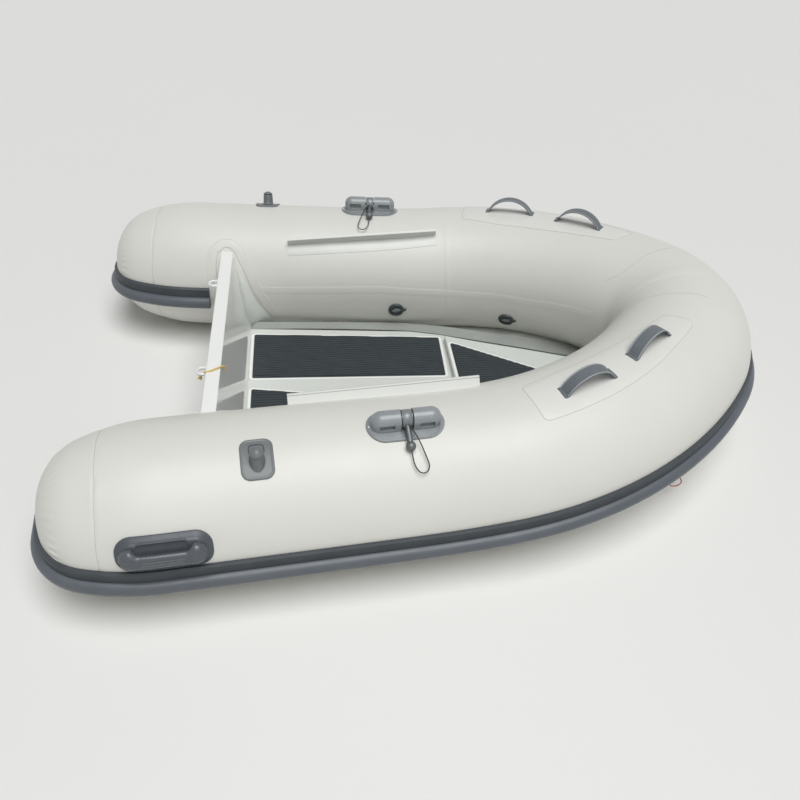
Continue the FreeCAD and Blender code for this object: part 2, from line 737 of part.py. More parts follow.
def lathe(label, placement, profile):
    """Turned piece: a profile of radius and height about the placement's Z."""
    body = new_body(label, placement)
    sketch = new_sketch(body, "XZ_Plane")
    draw_outline(sketch, profile)
    add_revolution(body, sketch, "360", "V_Axis")
    return body


LOCK = on_tube(val("lock_at"), val("lock_angle"))
HINGE = LOCK * Place(V(0, 0, val("lock_axis")), Turn())


def make_oarlock_base():
    """Oval plate with two round backed housings that carry the pin's axle."""
    plate = skin_plate("LockPlate", LOCK, "lock_length", "lock_width", "lock_width/2 - 0.5", "lock_plate")
    gap = "(hub_half + hub_play)"
    round_from = "(block_end - block_radius)"
    bore = "(axle_radius + axle_play)"
    lower = new_body("LockLower", LOCK)
    sketch = new_sketch(lower, "XY_Plane")
    draw_outline(sketch, [
        (gap, "-block_radius"), (round_from, "-block_radius", "block_radius", 1),
        ("block_end", "0", "block_radius", 1), (round_from, "block_radius"), (gap, "block_radius")])
    add_pad(lower, sketch, "lock_axis + bury")
    lower.Placement = LOCK * Place(V(0, 0, -val("bury")), Turn())
    upper = new_body("LockUpper", HINGE)
    sketch = new_sketch(upper, "XZ_Plane")
    draw_outline(sketch, [
        (gap, "0"), (gap, "block_radius"), (round_from, "block_radius", "block_radius", -1), ("block_end", "0")])
    add_revolution(upper, sketch, "360", "H_Axis")
    housing = joined("Part::MultiFuse", "Housing", [lower, upper])
    slots = [box(f"LockSlot{i}", HINGE, ("30", y, "-12"), ("36", "8", "15"))
             for i, y in enumerate(("block_radius - 8", "-block_radius"))]
    fore = cut("HousingFore", housing, *slots)
    aft = doc.addObject("Part::Mirroring", "HousingAft")
    aft.Source = fore
    aft.Base = LOCK.Base
    aft.Normal = LOCK.Rotation.multVec(AX)
    whole = joined("Part::MultiFuse", "LockWhole", [plate, fore, aft])
    axle_hole = cylinder("AxleHole", HINGE * Place(V(-val("axle_reach") - 1, 0, 0), Turn(AY, 90)), bore,
                         "2*axle_reach + 2")
    recess = box("HubRecess", LOCK, (f"-{gap}", "-lock_width", "1"), (f"2*{gap}", "2*lock_width", "lock_axis"))
    keep_both(cut("oarlock_base", whole, axle_hole, recess, tube), "oarlock_base")


def make_oarlock_pin(label, placement):
    """Folding pin: hub and axle along X, rod and ball along Y."""
    hub = cylinder(label + "Hub", placement * Place(V(-val("hub_half"), 0, 0), Turn(AY, 90)), "hub_radius",
                   "2*hub_half")
    axle = cylinder(label + "Axle", placement * Place(V(-val("axle_reach"), 0, 0), Turn(AY, 90)), "axle_radius",
                    "2*axle_reach")
    rod = cylinder(label + "Rod", placement * Place(V(), Turn(AX, -90)), "rod_radius", "rod_length")
    ball = doc.addObject("Part::Sphere", label + "Ball")
    ball.setExpression("Radius", bound("ball_radius"))
    ball.Placement = placement * Place(V(0, val("rod_length"), 0), Turn())
    return joined("Part::MultiFuse", label, [hub, axle, rod, ball])


make_oarlock_base()
DROOP = Place(V(), Turn(AX, -val("rod_droop")))
outboard_pin = HINGE * DROOP
inboard_pin = HINGE * Place(V(), Turn(AZ, 180)) * DROOP
keep(make_oarlock_pin("oarlock_pin_port", inboard_pin))
keep(mirrored(make_oarlock_pin("OutboardPin", outboard_pin), "oarlock_pin_starboard"))


def make_peg():
    place = on_tube(val("peg_at"), val("peg_angle"))
    plate = skin_plate("PegPlate", place, "peg_length", "peg_width", "peg_corner", "grab_plate")
    post = lathe("PegPost", place, [
        ("0", "-bury"), ("peg_root", "-bury"), ("peg_root", "grab_plate"), ("peg_top", "peg_shoulder"),
        ("4", "peg_height"), ("0", "peg_height")])
    keep_both(cut("oar_peg", joined("Part::MultiFuse", "PegWhole", [plate, post]), tube), "oar_peg")


make_peg()


def make_strap(stem, distance, angle):
    """Webbing handle: flat feet, a tight bend at each foot and a wide arch between them."""
    half = "strap_thick/2"
    radii = "((strap_run^2 + strap_rise^2)/(2*strap_rise))"
    lean = f"asin(strap_run/{radii})"
    wide = f"({radii} - strap_tight)"

    def side(offset, sign):
        """Start and end of a tight bend, offset from the webbing's middle."""
        bend = f"(strap_tight - {offset})"
        return [(f"{sign}*strap_run", f"{half} + {offset}"),
                (f"{sign}*(strap_run - {bend}*sin({lean}))", f"{half} + strap_tight - {bend}*cos({lean})")]

    def arch(offset, start_sign, turn):
        first, second = side(offset, start_sign)
        fourth, third = side(offset, -start_sign)
        bend = f"(strap_tight - {offset})"
        return [(*first, bend, turn), (*second, f"({wide} + {offset})", -turn), (*third, bend, turn), fourth]

    body = new_body(stem + "_blank", on_tube(distance, angle) * Place(V(0, 0, -val("strap_sink")), Turn()))
    sketch = new_sketch(body, "XZ_Plane")
    draw_outline(sketch, [("-(strap_run + strap_foot)", "0")] + arch(f"(-{half})", -1, 1)
                 + [("strap_run + strap_foot", "0"), ("strap_run + strap_foot", "strap_thick")]
                 + arch(f"({half})", 1, -1) + [("-(strap_run + strap_foot)", "strap_thick")])
    add_pad(body, sketch, "strap_width", midplane=True)
    keep_both(cut(stem, body, tube), stem)


make_strap("strap_handle_aft", val("strap_aft_at"), val("strap_aft_angle"))
make_strap("strap_handle_fore", val("strap_fore_at"), val("strap_fore_angle"))


def make_grab_handle():
    """Moulded handle: plate, and a rounded block with a finger slot behind and under its bar."""
    tilt = Place(V(), Turn(AY, -val("grab_tilt")))
    place = on_tube(val("grab_at"), val("grab_angle")) * tilt
    plate = skin_plate("GrabPlate", place, "grab_length", "grab_width", "0.42*grab_width", "grab_plate")
    block = new_body("GrabBlock", place)
    sketch = new_sketch(block, "XY_Plane")
    draw_outline(sketch, rectangle("(grab_length/2 - grab_inset)", "(grab_width/2 - grab_inset)"))
    pad = add_pad(block, sketch, "grab_height")
    add_fillet(block, pad, "0.8*(grab_width/2 - grab_inset)", upright)
    add_fillet(block, block.Tip, "0.3*grab_height", at_height(val("grab_height")))
    slot = box("GrabSlot", place, ("-grab_slot/2", "-grab_width/2 + 2*grab_inset", "grab_plate"),
               ("grab_slot", "grab_width/2 - 1.8*grab_inset", "grab_height"))
    under = box("GrabUnder", place, ("-grab_slot/2", "-grab_width/2 + 2*grab_inset", "grab_plate"),
                ("grab_slot", "grab_width", "grab_height - grab_plate - grab_bar"))
    hollow = joined("Part::MultiFuse", "GrabHollow", [slot, under])
    whole = joined("Part::MultiFuse", "GrabWhole", [plate, cut("GrabOpen", block, hollow)])
    keep_both(cut("grab_handle", whole, tube), "grab_handle")


make_grab_handle()


def make_valve(stem, distance, angle):
    blank = lathe(stem + "_blank", on_tube(distance, angle), [
        ("0", "-bury"), ("valve_flange", "-bury"), ("valve_flange", "2"), ("valve_flange - 2", "4"),
        ("valve_cap", "4"), ("valve_cap - 1", "valve_height"), ("0", "valve_height")])
    keep_both(cut(stem, blank, tube), stem)


make_valve("valve_aft", val("valve_aft_at"), val("valve_aft_angle"))
make_valve("valve_fore", val("valve_fore_at"), val("valve_fore_angle"))

TOW = on_tube(val("tow_at"), val("tow_angle"))


def make_tow_ring():
    """Round patch, and a ring that stands out of it on a small block."""
    patch = lathe("TowPatchBlank", TOW, [
        ("0", "-bury"), ("tow_patch", "-bury"), ("tow_patch", "1"), ("tow_patch - 2", "3"), ("0", "3")])
    keep_both(cut("tow_patch", patch, tube), "tow_patch")
    ring = doc.addObject("Part::Torus", "TowTorus")
    ring.setExpression("Radius1", bound("tow_ring"))
    ring.setExpression("Radius2", bound("tow_bar"))
    ring.Placement = TOW * Place(V(0, 0, val("3 + tow_ring + 1.5*tow_bar")), Turn(AX, 90))
    block = box("TowBlock", TOW, ("-2*tow_bar", "-1.5*tow_bar", "3"), ("4*tow_bar", "3*tow_bar", "3*tow_bar"))
    keep_both(joined("Part::MultiFuse", "TowRing", [ring, block]), "tow_ring")


make_tow_ring()


def make_lifting_eye():
    """Level lug on the transom's aft face."""
    body = new_body("EyeBlank", Place(V(val("lug_x"), val("lug_y"), val("lug_z")), Turn()))
    sketch = new_sketch(body, "XY_Plane", "-lug_thick/2")
    draw_outline(sketch, [
        ("0", "lug_outer", "lug_outer", 1), ("-lug_outer", "0", "lug_outer", 1), ("0", "-lug_outer"),
        ("lug_outer + 6", "-lug_root"), ("lug_outer + 6", "lug_root")])
    draw_circle(sketch, "lug_hole")
    add_pad(body, sketch, "lug_thick")
    keep_both(cut("lifting_eye", body, transom_body), "lifting_eye")


make_lifting_eye()


def make_bow_eye():
    """Towing eye on the stem, in the boat's middle plane."""
    after, before = HULL[7], HULL[6]
    stem = math.atan2(after[1] - before[1], after[0] - before[0])
    middle = V((after[0] + before[0]) / 2, 0, (after[1] + before[1]) / 2)
    middle += V(math.sin(stem), 0, -math.cos(stem)) * val("eye_hole + 5")
    body = new_body("BowEyeBlank", Place(middle, Turn()))
    sketch = new_sketch(body, "XZ_Plane")
    draw_circle(sketch, "eye_outer")
    draw_circle(sketch, "eye_hole")
    add_pad(body, sketch, "eye_thick", midplane=True)
    keep(cut("bow_eye", body, hull_body))


make_bow_eye()

aft_face = TRANSOM * Place(V(0, 0, -440), Turn(AY, -90))
keep(lathe("drain_fitting", aft_face, [
    ("0", "0"), ("plug_radius", "0"), ("plug_radius", "3"), ("0.6*plug_radius", "5"), ("0.6*plug_radius", "12"),
    ("0", "12")]))


# Cords
def make_cord(label, points, diameter):
    """Round cord: straight runs joined by arcs that touch them."""
    points = [V(*point) for point in points]
    edges = []
    start = points[0]
    for before, corner, after in zip(points, points[1:], points[2:]):
        back, ahead = before - corner, after - corner
        half_turn = (math.pi - back.getAngle(ahead)) / 2
        trim = 0.45 * min(back.Length, ahead.Length)
        radius = trim / math.tan(half_turn)
        first = corner + back.normalize() * trim
        last = corner + ahead.normalize() * trim
        inward = (back + ahead).normalize()
        middle = corner + inward * (radius / math.cos(half_turn) - radius)
        edges += [Part.makeLine(start, first), Part.Arc(first, middle, last).toShape()]
        start = last
        print(f"{label}: bend radius {radius:.1f} over diameter {diameter}")
    edges.append(Part.makeLine(start, points[-1]))
    ring = Part.Wire([Part.makeCircle(diameter / 2, points[0], points[1] - points[0])])
    return shape_piece(label, Part.Wire(edges).makePipeShell([ring], True, False))


# Retaining cord of the folded oarlock pin, in the frame of a pin folded outboard
LOCK_CORD = [
    # x, y, z
    (0, 20, 0),
    (8, 31, -2),
    (17, 50, -8),
    (25, 72, -19),
    (32, 93, -32),
    (38, 113, -43),
    (30, 126, -51),
    (14, 126.5, -51),
    (4, 113, -44),
    (0.5, 96, -35),
    (0, 79, -25),
]


def oarlock_cord(label, placement):
    return make_cord(label, [placement.multVec(V(*point)) for point in LOCK_CORD], 3)


keep(oarlock_cord("oarlock_cord_port", HINGE * Place(V(), Turn(AZ, 180))))
keep(mirrored(oarlock_cord("OutboardCord", HINGE), "oarlock_cord_starboard"))

TRANSOM_CORD = [
    # x, y, z
    (352, -222, 312),
    (359, -225, 330),
    (365, -236, 345),
    (382, -244.5, 344),
    (400, -232, 343.2),
    (416, -220, 343.5),
    (422, -216, 330),
    (423, -215.5, 317),
]
keep(make_cord("transom_cord", TRANSOM_CORD, 5))

# Loop that hangs from the starboard tow ring, along the boat's length
RING_CORD = [
    # along, down
    (-3, -2),
    (-13, 9),
    (-19, 23),
    (-11, 37),
    (11, 37),
    (19, 23),
    (13, 9),
    (3, -2),
]


def make_ring_cord():
    out = TOW.multVec(V(0, 0, val("3 + 2*tow_ring + 2.5*tow_bar")))
    top = V(out.x, -out.y, out.z)
    keep(make_cord("ring_cord", [top + V(along, 0, -down) for along, down in RING_CORD], 3))


make_ring_cord()

doc.recompute()
for item in doc.Objects:
    if "Invalid" in item.State or "Error" in item.State:
        raise RuntimeError(f"{item.Label} is not valid: {item.State}")
for piece in EXPORTED:
    if piece.Shape.isNull() or not piece.Shape.isValid():
        raise RuntimeError(f"{piece.Label} is not valid")
    Part.Shape.exportStep(piece.Shape, f"parts/{piece.Label}.step")
print(len(EXPORTED), "pieces")
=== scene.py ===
import math

import bpy
from mathutils import Matrix, Vector
from mathutils.geometry import delaunay_2d_cdt


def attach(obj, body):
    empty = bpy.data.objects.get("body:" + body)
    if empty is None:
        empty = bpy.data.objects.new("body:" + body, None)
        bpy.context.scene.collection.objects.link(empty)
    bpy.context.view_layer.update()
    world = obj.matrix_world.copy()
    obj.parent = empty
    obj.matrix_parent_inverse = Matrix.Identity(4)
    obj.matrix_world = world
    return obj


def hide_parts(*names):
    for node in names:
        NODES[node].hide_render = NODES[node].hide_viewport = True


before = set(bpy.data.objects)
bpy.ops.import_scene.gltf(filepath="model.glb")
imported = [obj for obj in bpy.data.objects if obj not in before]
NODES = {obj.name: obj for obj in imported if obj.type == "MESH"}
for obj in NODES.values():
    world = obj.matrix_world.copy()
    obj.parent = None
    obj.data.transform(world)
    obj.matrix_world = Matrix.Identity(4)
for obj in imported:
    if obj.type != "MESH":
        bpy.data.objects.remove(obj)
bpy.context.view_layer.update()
SIDES = {"port": 1, "starboard": -1}

# Sizes of the tube and its axis, in metres or degrees
RADIUS = 0.21
HEIGHT = 0.2
SPACING = 0.607
TAPER = 5.5
CONE_FLAT = 0.031
CONE_CORNER = 0.157
CONE_SIDE = 0.538
STRAIGHT = 0.874
KNEE = 2.7
TILT = 5.1
QUARTER = 0.885
NOSE = 0.266


# Frames along the port tube: X forward along the axis, Y outboard, Z up
def shift(x, y, z):
    return Matrix.Translation((x, y, z))


def turn(axis, degrees):
    return Matrix.Rotation(math.radians(degrees), 4, axis)


def axes(x, y, z, place):
    """Frame with these three axes at a place."""
    return Matrix((*zip(x, y, z, place), (0, 0, 0, 1)))


def facing(place, way, axis="X", up="Z"):
    """Frame at a place with one of its axes along a way."""
    return Matrix.Translation(place) @ Vector(way).to_track_quat(axis, up).to_matrix().to_4x4()


def along_bend(radius, degrees):
    a = math.radians(degrees)
    return shift(radius * math.sin(a), -radius * (1 - math.cos(a)), 0) @ turn("Z", -degrees)


CONE_SPAN = math.sqrt((CONE_SIDE - CONE_CORNER) ** 2 - (CONE_FLAT + CONE_SIDE - RADIUS) ** 2)
CONE = CONE_CORNER + CONE_SPAN
CONE_TURN = math.asin(CONE_SPAN / (CONE_SIDE - CONE_CORNER))
TAPER_R, TILT_R = math.radians(TAPER), math.radians(TILT)
QUARTER_ANGLE = math.degrees(
    math.acos((math.sin(TAPER_R) * (STRAIGHT + KNEE * math.sin(TILT_R)) + QUARTER * math.cos(TAPER_R) - SPACING)
              / ((QUARTER - NOSE) * math.hypot(math.cos(TAPER_R), math.sin(TAPER_R) * math.cos(TILT_R))))
    - math.atan(math.tan(TAPER_R) * math.cos(TILT_R)))
KNEE_LENGTH = KNEE * TILT_R
QUARTER_LENGTH = QUARTER * math.radians(QUARTER_ANGLE)
NOSE_AT = STRAIGHT + KNEE_LENGTH + QUARTER_LENGTH
STERN = shift(0, SPACING, HEIGHT) @ turn("Z", -TAPER)
BOW = STERN @ shift(STRAIGHT + KNEE * math.sin(TILT_R), 0, KNEE * (1 - math.cos(TILT_R))) @ turn("Y", -TILT)
NOSE_START = BOW @ along_bend(QUARTER, QUARTER_ANGLE)


def on_axis(s):
    if s <= STRAIGHT:
        return STERN @ shift(s, 0, 0)
    s -= STRAIGHT
    if s <= KNEE_LENGTH:
        a = s / KNEE
        place = shift(STRAIGHT + KNEE * math.sin(a), 0, KNEE * (1 - math.cos(a)))
        return STERN @ place @ Matrix.Rotation(-a, 4, "Y")
    s -= KNEE_LENGTH
    if s <= QUARTER_LENGTH:
        return BOW @ along_bend(QUARTER, math.degrees(s / QUARTER))
    return NOSE_START @ along_bend(NOSE, math.degrees((s - QUARTER_LENGTH) / NOSE))


def on_tube(s, degrees):
    """Frame on the port tube's skin: X forward, Y down the outboard side, Z out."""
    a = math.radians(degrees)
    c, n = math.cos(a), math.sin(a)
    return on_axis(s) @ axes((1, 0, 0), (0, n, -c), (0, c, n), (0, c * RADIUS, n * RADIUS))


def cone_profile(s):
    """Distance along the axis, radius and outward normal of the stern cone. Below 0 is the flat end."""
    if s < 0:
        return 0.0, CONE_FLAT + s, -1.0, 0.0
    if s < CONE - CONE_SIDE * math.sin(CONE_TURN):
        x = s - CONE_CORNER
        r = math.sqrt(CONE_CORNER ** 2 - x * x)
        return s, CONE_FLAT + r, x / CONE_CORNER, r / CONE_CORNER
    x = s - CONE
    r = math.sqrt(CONE_SIDE ** 2 - x * x)
    return s, RADIUS - CONE_SIDE + r, x / CONE_SIDE, r / CONE_SIDE


def skin(s, degrees, lift=0.0, side=1):
    """Point on the tube's skin at a distance along its axis and an angle round it from outboard, upwards."""
    a = math.radians(degrees)
    if s < CONE:
        x, r, nx, nr = cone_profile(s)
        place, x, r = STERN, x + nx * lift, r + nr * lift
    else:
        place, x, r = on_axis(s), 0.0, RADIUS + lift
    p = place @ Vector((x, math.cos(a) * r, math.sin(a) * r))
    return Vector((p.x, p.y * side, p.z))


def middle_of_bow(degrees, lift=0.0):
    """Distance along the axis at which the skin meets the boat's middle plane."""
    low, high = NOSE_AT, NOSE_AT + NOSE * 2.4
    for _ in range(40):
        mid = (low + high) / 2
        if skin(mid, degrees, lift).y > 0:
            low = mid
        else:
            high = mid
    return low


# Materials, by slot
MATERIALS = {}


def linear(r, g, b):
    """Colour in levels of 255 as linear light."""
    return tuple((c / 255 / 12.92 if c <= 10 else ((c / 255 + 0.055) / 1.055) ** 2.4) for c in (r, g, b)) + (1.0,)


def new_node(nodes, kind, **values):
    """Shader node with these values, where an underscore stands for a space in a socket's name."""
    node = nodes.new("ShaderNode" + kind)
    for socket, value in values.items():
        node.inputs[socket.replace("_", " ")].default_value = value
    return node


def paint(slot, name, colour, roughness, metal=0.0, spread=0.05, mottle=9.0, rough_spread=0.08, grain=None,
          wave=None, edge=0.0, coat=0.0, sheen=0.0, swell=0.0, grime_and_shade=None, specular=0.5):
    """Material of a slot, mottled in colour and roughness. It may have grain (scale, depth), a weave or ribs
    (pitch across, pitch along, depth), softened edges, a swell, and a blotchy tint that grows towards the bottom
    (colour, amount, height of all, of none), which is painted shade with grime on the tube and hull, and dirt on the
    rails."""
    m = MATERIALS[slot] = bpy.data.materials.new(name)
    colour = linear(*colour)
    m.use_nodes = True
    m.diffuse_color = colour
    nodes, links = m.node_tree.nodes, m.node_tree.links
    shader = nodes["Principled BSDF"]
    for socket, value in (("Metallic", metal), ("Coat Weight", coat), ("Coat Roughness", 0.08),
                          ("Sheen Weight", sheen), ("Specular IOR Level", specular)):
        shader.inputs[socket].default_value = value
    place = new_node(nodes, "TexCoord")

    def noise(scale, detail):
        node = new_node(nodes, "TexNoise", Scale=scale, Detail=detail)
        links.new(place.outputs["Object"], node.inputs["Vector"])
        return node.outputs["Fac"]

    def math_node(kind, a, b):
        node = new_node(nodes, "Math")
        node.operation = kind
        for socket, value in zip(node.inputs, (a, b)):
            if isinstance(value, (int, float)):
                socket.default_value = value
            else:
                links.new(value, socket)
        return node.outputs[0]

    blotch = noise(mottle, 5.0)
    ramp = new_node(nodes, "ValToRGB")
    for element, position, tone in zip(ramp.color_ramp.elements, (0.32, 0.68), (1 - spread, 1 + spread)):
        element.position = position
        element.color = tuple(min(1.0, c * tone) for c in colour[:3]) + (1.0,)
    links.new(blotch, ramp.inputs["Fac"])
    tone = ramp.outputs["Color"]
    # Tint that grows towards the bottom: painted shade with grime on the tube and hull, dirt on the rails
    if grime_and_shade:
        low_tint, amount, low, high = grime_and_shade
        split = new_node(nodes, "SeparateXYZ")
        links.new(place.outputs["Object"], split.inputs[0])
        span = new_node(nodes, "MapRange", From_Min=high, From_Max=low, To_Max=amount)
        links.new(split.outputs["Z"], span.inputs["Value"])
        mix = new_node(nodes, "Mix")
        mix.data_type = "RGBA"
        links.new(math_node("MULTIPLY", span.outputs["Result"], noise(14.0, 6.0)), mix.inputs["Factor"])
        links.new(tone, mix.inputs["A"])
        mix.inputs["B"].default_value = linear(*low_tint)
        tone = mix.outputs["Result"]
    links.new(tone, shader.inputs["Base Color"])
    rough = new_node(nodes, "MapRange", To_Min=max(0.02, roughness - rough_spread),
                     To_Max=min(1.0, roughness + rough_spread))
    links.new(noise(mottle * 3.1, 4.0), rough.inputs["Value"])
    links.new(rough.outputs["Result"], shader.inputs["Roughness"])

    normal = None
    if edge:
        soft = new_node(nodes, "Bevel", Radius=edge)
        soft.samples = 4
        normal = soft.outputs["Normal"]

    def bump(height, depth):
        nonlocal normal
        node = new_node(nodes, "Bump", Strength=1.0, Distance=depth)
        links.new(height, node.inputs["Height"])
        if normal is not None:
            links.new(normal, node.inputs["Normal"])
        normal = node.outputs["Normal"]

    if swell:
        bump(noise(5.5, 1.0), swell)
    if grain:
        bump(noise(grain[0], 3.0), grain[1])
    if wave:
        across, along, depth = wave
        split = new_node(nodes, "SeparateXYZ")
        links.new(place.outputs["UV"], split.inputs[0])
        height = None
        for name, pitch in (("X", along), ("Y", across)):
            if pitch:
                band = math_node("SINE", math_node("MULTIPLY", split.outputs[name], math.tau / pitch), 0.0)
                height = band if height is None else math_node("MULTIPLY", height, band)
        bump(height, depth)
    if normal is not None:
        links.new(normal, shader.inputs["Normal"])


# Woven cloth: distance between threads across and along, and their depth
WEAVE = (0.0011, 0.0011, 2e-5)
# The tube's cloth darkens and browns below 0.1 m: painted shade of its lower side, with some grime
paint("tube_fabric", "coated_fabric", (225, 225, 219), 0.42, spread=0.012, mottle=5, rough_spread=0.07,
      wave=WEAVE, swell=0.0009, grime_and_shade=((176, 170, 152), 0.5, -0.02, 0.1))
paint("patch_fabric", "patch_fabric", (227, 227, 222), 0.46, spread=0.012, grain=(900, 4e-5), wave=WEAVE)
paint("tape_fabric", "tape_fabric", (223, 223, 217), 0.4, spread=0.015, grain=(900, 3e-5))
paint("rail_band", "rail_rubber_dark", (58, 64, 69), 0.5, spread=0.1, mottle=14, grain=(700, 6e-5),
      grime_and_shade=((120, 118, 110), 0.25, 0, 0.25))
paint("rail_bead", "rail_rubber_light", (85, 92, 100), 0.4, spread=0.08, mottle=12, grain=(700, 5e-5),
      grime_and_shade=((140, 136, 126), 0.3, 0, 0.25))
# The hull's paint darkens and browns below 0.12 m: painted shade low on the hull and knees, with some grime
paint("hull_paint", "hull_paint", (214, 218, 213), 0.3, spread=0.02, mottle=7, grain=(350, 4e-5), edge=0.0015,
      coat=0.3, grime_and_shade=((168, 162, 146), 0.5, -0.05, 0.12))
paint("transom_paint", "transom_paint", (247, 249, 246), 0.12, spread=0.012, mottle=6, rough_spread=0.04,
      grain=(60, 3e-5), edge=0.003, coat=0.5)
paint("guard_rubber", "guard_rubber", (60, 64, 68), 0.6, spread=0.12, grain=(600, 8e-5), edge=0.001)
paint("deck_pad", "deck_pad_foam", (50, 57, 60), 0.82, spread=0.1, mottle=22, grain=(1400, 0.00015))
paint("seat_rail", "seat_rail_plastic", (226, 228, 224), 0.38, spread=0.02, grain=(420, 4e-5), edge=0.0015)
paint("fitting_grey", "moulded_grey", (122, 128, 131), 0.36, spread=0.07, mottle=30, grain=(1500, 6e-5),
      edge=0.002, specular=0.55)
paint("peg_grey", "moulded_peg", (110, 115, 116), 0.36, spread=0.07, mottle=30, grain=(1500, 6e-5), edge=0.0012)
paint("lock_grey", "moulded_lock", (144, 150, 153), 0.25, spread=0.06, mottle=30, grain=(1500, 4e-5), edge=0.0025,
      specular=0.6)
paint("grab_grey", "moulded_grab", (79, 84, 90), 0.27, spread=0.07, mottle=30, grain=(1500, 5e-5), edge=0.001,
      specular=0.6)
paint("fitting_mid", "moulded_mid", (76, 81, 87), 0.38, spread=0.08, mottle=30, grain=(1500, 6e-5), edge=0.001)
# Dark grey for painted shade in the oar peg's gaps
paint("painted_shade_dark", "peg_shade_dark", (58, 63, 69), 0.5, spread=0.1, mottle=30, grain=(1500, 8e-5))
paint("valve_grey", "valve_plastic", (62, 70, 72), 0.42, spread=0.08, mottle=40, grain=(1300, 6e-5), edge=0.001)
paint("pin_metal", "cast_pin", (104, 108, 109), 0.36, metal=0.5, spread=0.1, mottle=60, grain=(900, 0.00012),
      edge=0.0012)
paint("webbing", "handle_webbing", (101, 108, 113), 0.5, spread=0.08, mottle=40, sheen=0.05, grain=(1800, 8e-5),
      wave=(0, 0.0021, 0.00012))
paint("thread", "handle_thread", (186, 192, 197), 0.6, spread=0.1, mottle=300)
paint("hub_metal", "hub_metal", (127, 133, 136), 0.36, metal=0.3, spread=0.06, mottle=50, grain=(900, 8e-5),
      edge=0.001)
paint("seam_line", "seam_glue", (187, 188, 182), 0.6, mottle=40)
paint("deck_white", "deck_white", (240, 242, 238), 0.3, spread=0.01, mottle=8, edge=0.001)
# Grey of the deck's edges along the tubes, darkened as painted shade of the gutter under them
paint("deck_edge_shade", "deck_edge_shade", (158, 162, 158), 0.4, mottle=12, grain=(300, 5e-5))
paint("ring_steel", "stainless", (196, 198, 200), 0.24, metal=1, mottle=50, grain=(1100, 4e-5))
paint("eye_paint", "eye_paint", (238, 240, 238), 0.25, spread=0.015, grain=(500, 3e-5), edge=0.0015, coat=0.3)
paint("drain", "drain_plastic", (70, 74, 78), 0.5, spread=0.1, grain=(900, 8e-5), edge=0.001)
paint("cord_black", "cord_black", (44, 46, 49), 0.6, spread=0.25, mottle=700, grain=(2600, 0.00025))
paint("cord_yellow", "cord_yellow", (222, 194, 116), 0.7, spread=0.18, mottle=600, grain=(1900, 0.0004))
paint("cord_red", "cord_red", (168, 44, 40), 0.65, spread=0.22, mottle=700, grain=(2600, 0.0003))

# The CAD nodes that wear each material, with or without a side at the end of the name
SLOTS = {
    "tube_fabric": "stern_cone side_tube bow_quarter bow_nose",
    "patch_fabric": "tow_patch",
    "rail_band": "rail_band",
    "rail_bead": "rail_bead",
    "hull_paint": "hull deck_plate bow_step spray_strake corner_knee",
    "transom_paint": "transom",
    "guard_rubber": "keel_guard",
    "deck_pad": "pad",
    "seat_rail": "seat_rail",
    "fitting_grey": "oar_peg grab_handle",
    "lock_grey": "oarlock_base",
    "valve_grey": "valve_aft valve_fore",
    "pin_metal": "oarlock_pin",
    "webbing": "strap_handle_aft strap_handle_fore",
    "ring_steel": "tow_ring bow_eye",
    "eye_paint": "lifting_eye",
    "drain": "drain_fitting",
    "cord_black": "oarlock_cord",
    "cord_yellow": "transom_cord",
    "cord_red": "ring_cord",
}
for slot, stems in SLOTS.items():
    for name, node in NODES.items():
        if {name, name.rsplit("_", 1)[0]} & set(stems.split()):
            node.data.materials.clear()
            node.data.materials.append(MATERIALS[slot])


# Mesh helpers. A shape is a pair of lists: its points, and its faces as indices of them
def new_object(name, data):
    obj = bpy.data.objects.new(name, data)
    bpy.context.scene.collection.objects.link(obj)
    return obj


def flipped(faces):
    return [tuple(reversed(f)) for f in faces]


def add_piece(name, shape, material, slot=None, body="boat", replaces=(), uv=None, smooth=True, side=1):
    """New piece on a body. Port coordinates are mirrored for side -1."""
    verts, faces = shape
    if side < 0:
        verts, faces = [(v[0], -v[1], v[2]) for v in verts], flipped(faces)
    mesh = bpy.data.meshes.new(name)
    mesh.from_pydata([tuple(v) for v in verts], [], faces)
    mesh.materials.append(MATERIALS[material])
    if uv:
        layer = mesh.uv_layers.new(name="UVMap")
        for loop in mesh.loops:
            layer.data[loop.index].uv = uv[loop.vertex_index]
    mesh.shade_smooth() if smooth else mesh.shade_flat()
    if smooth and smooth is not True:
        mesh.set_sharp_from_angle(angle=math.radians(smooth))
    obj = new_object(name, mesh)
    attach(obj, body)
    if replaces:
        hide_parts(*replaces)
    return obj


def both(stem, shape, material, replaces=(), **more):
    """A port piece and its mirror image, which stand for the CAD nodes with these stems."""
    for name, side in SIDES.items():
        nodes = [f"{node}_{name}" for node in replaces]
        add_piece(f"{stem}_{name}", shape, material, side=side, replaces=nodes, **more)


def merged(shapes):
    verts, faces = [], []
    for v, f in shapes:
        faces += [tuple(i + len(verts) for i in face) for face in f]
        verts += list(v)
    return verts, faces


def grid_faces(rows, columns, wrap=False):
    faces = []
    for i in range(rows - 1):
        for j in range(columns if wrap else columns - 1):
            k = (j + 1) % columns
            faces.append((i * columns + j, (i + 1) * columns + j, (i + 1) * columns + k, i * columns + k))
    return faces


def capped(rows):
    """Closed rows of points joined into a skin with flat ends."""
    n = len(rows[0])
    faces = grid_faces(len(rows), n, wrap=True)
    faces += [tuple(range(n)), tuple(reversed(range((len(rows) - 1) * n, len(rows) * n)))]
    return [v for row in rows for v in row], faces


def sweep(frames, profile):
    """Closed profile of (y, z), or a list of them, carried along frames whose X is the way forward."""
    sections = profile if isinstance(profile[0], list) else [profile] * len(frames)
    return capped([[f @ Vector((0, y, z)) for y, z in section] for f, section in zip(frames, sections)])


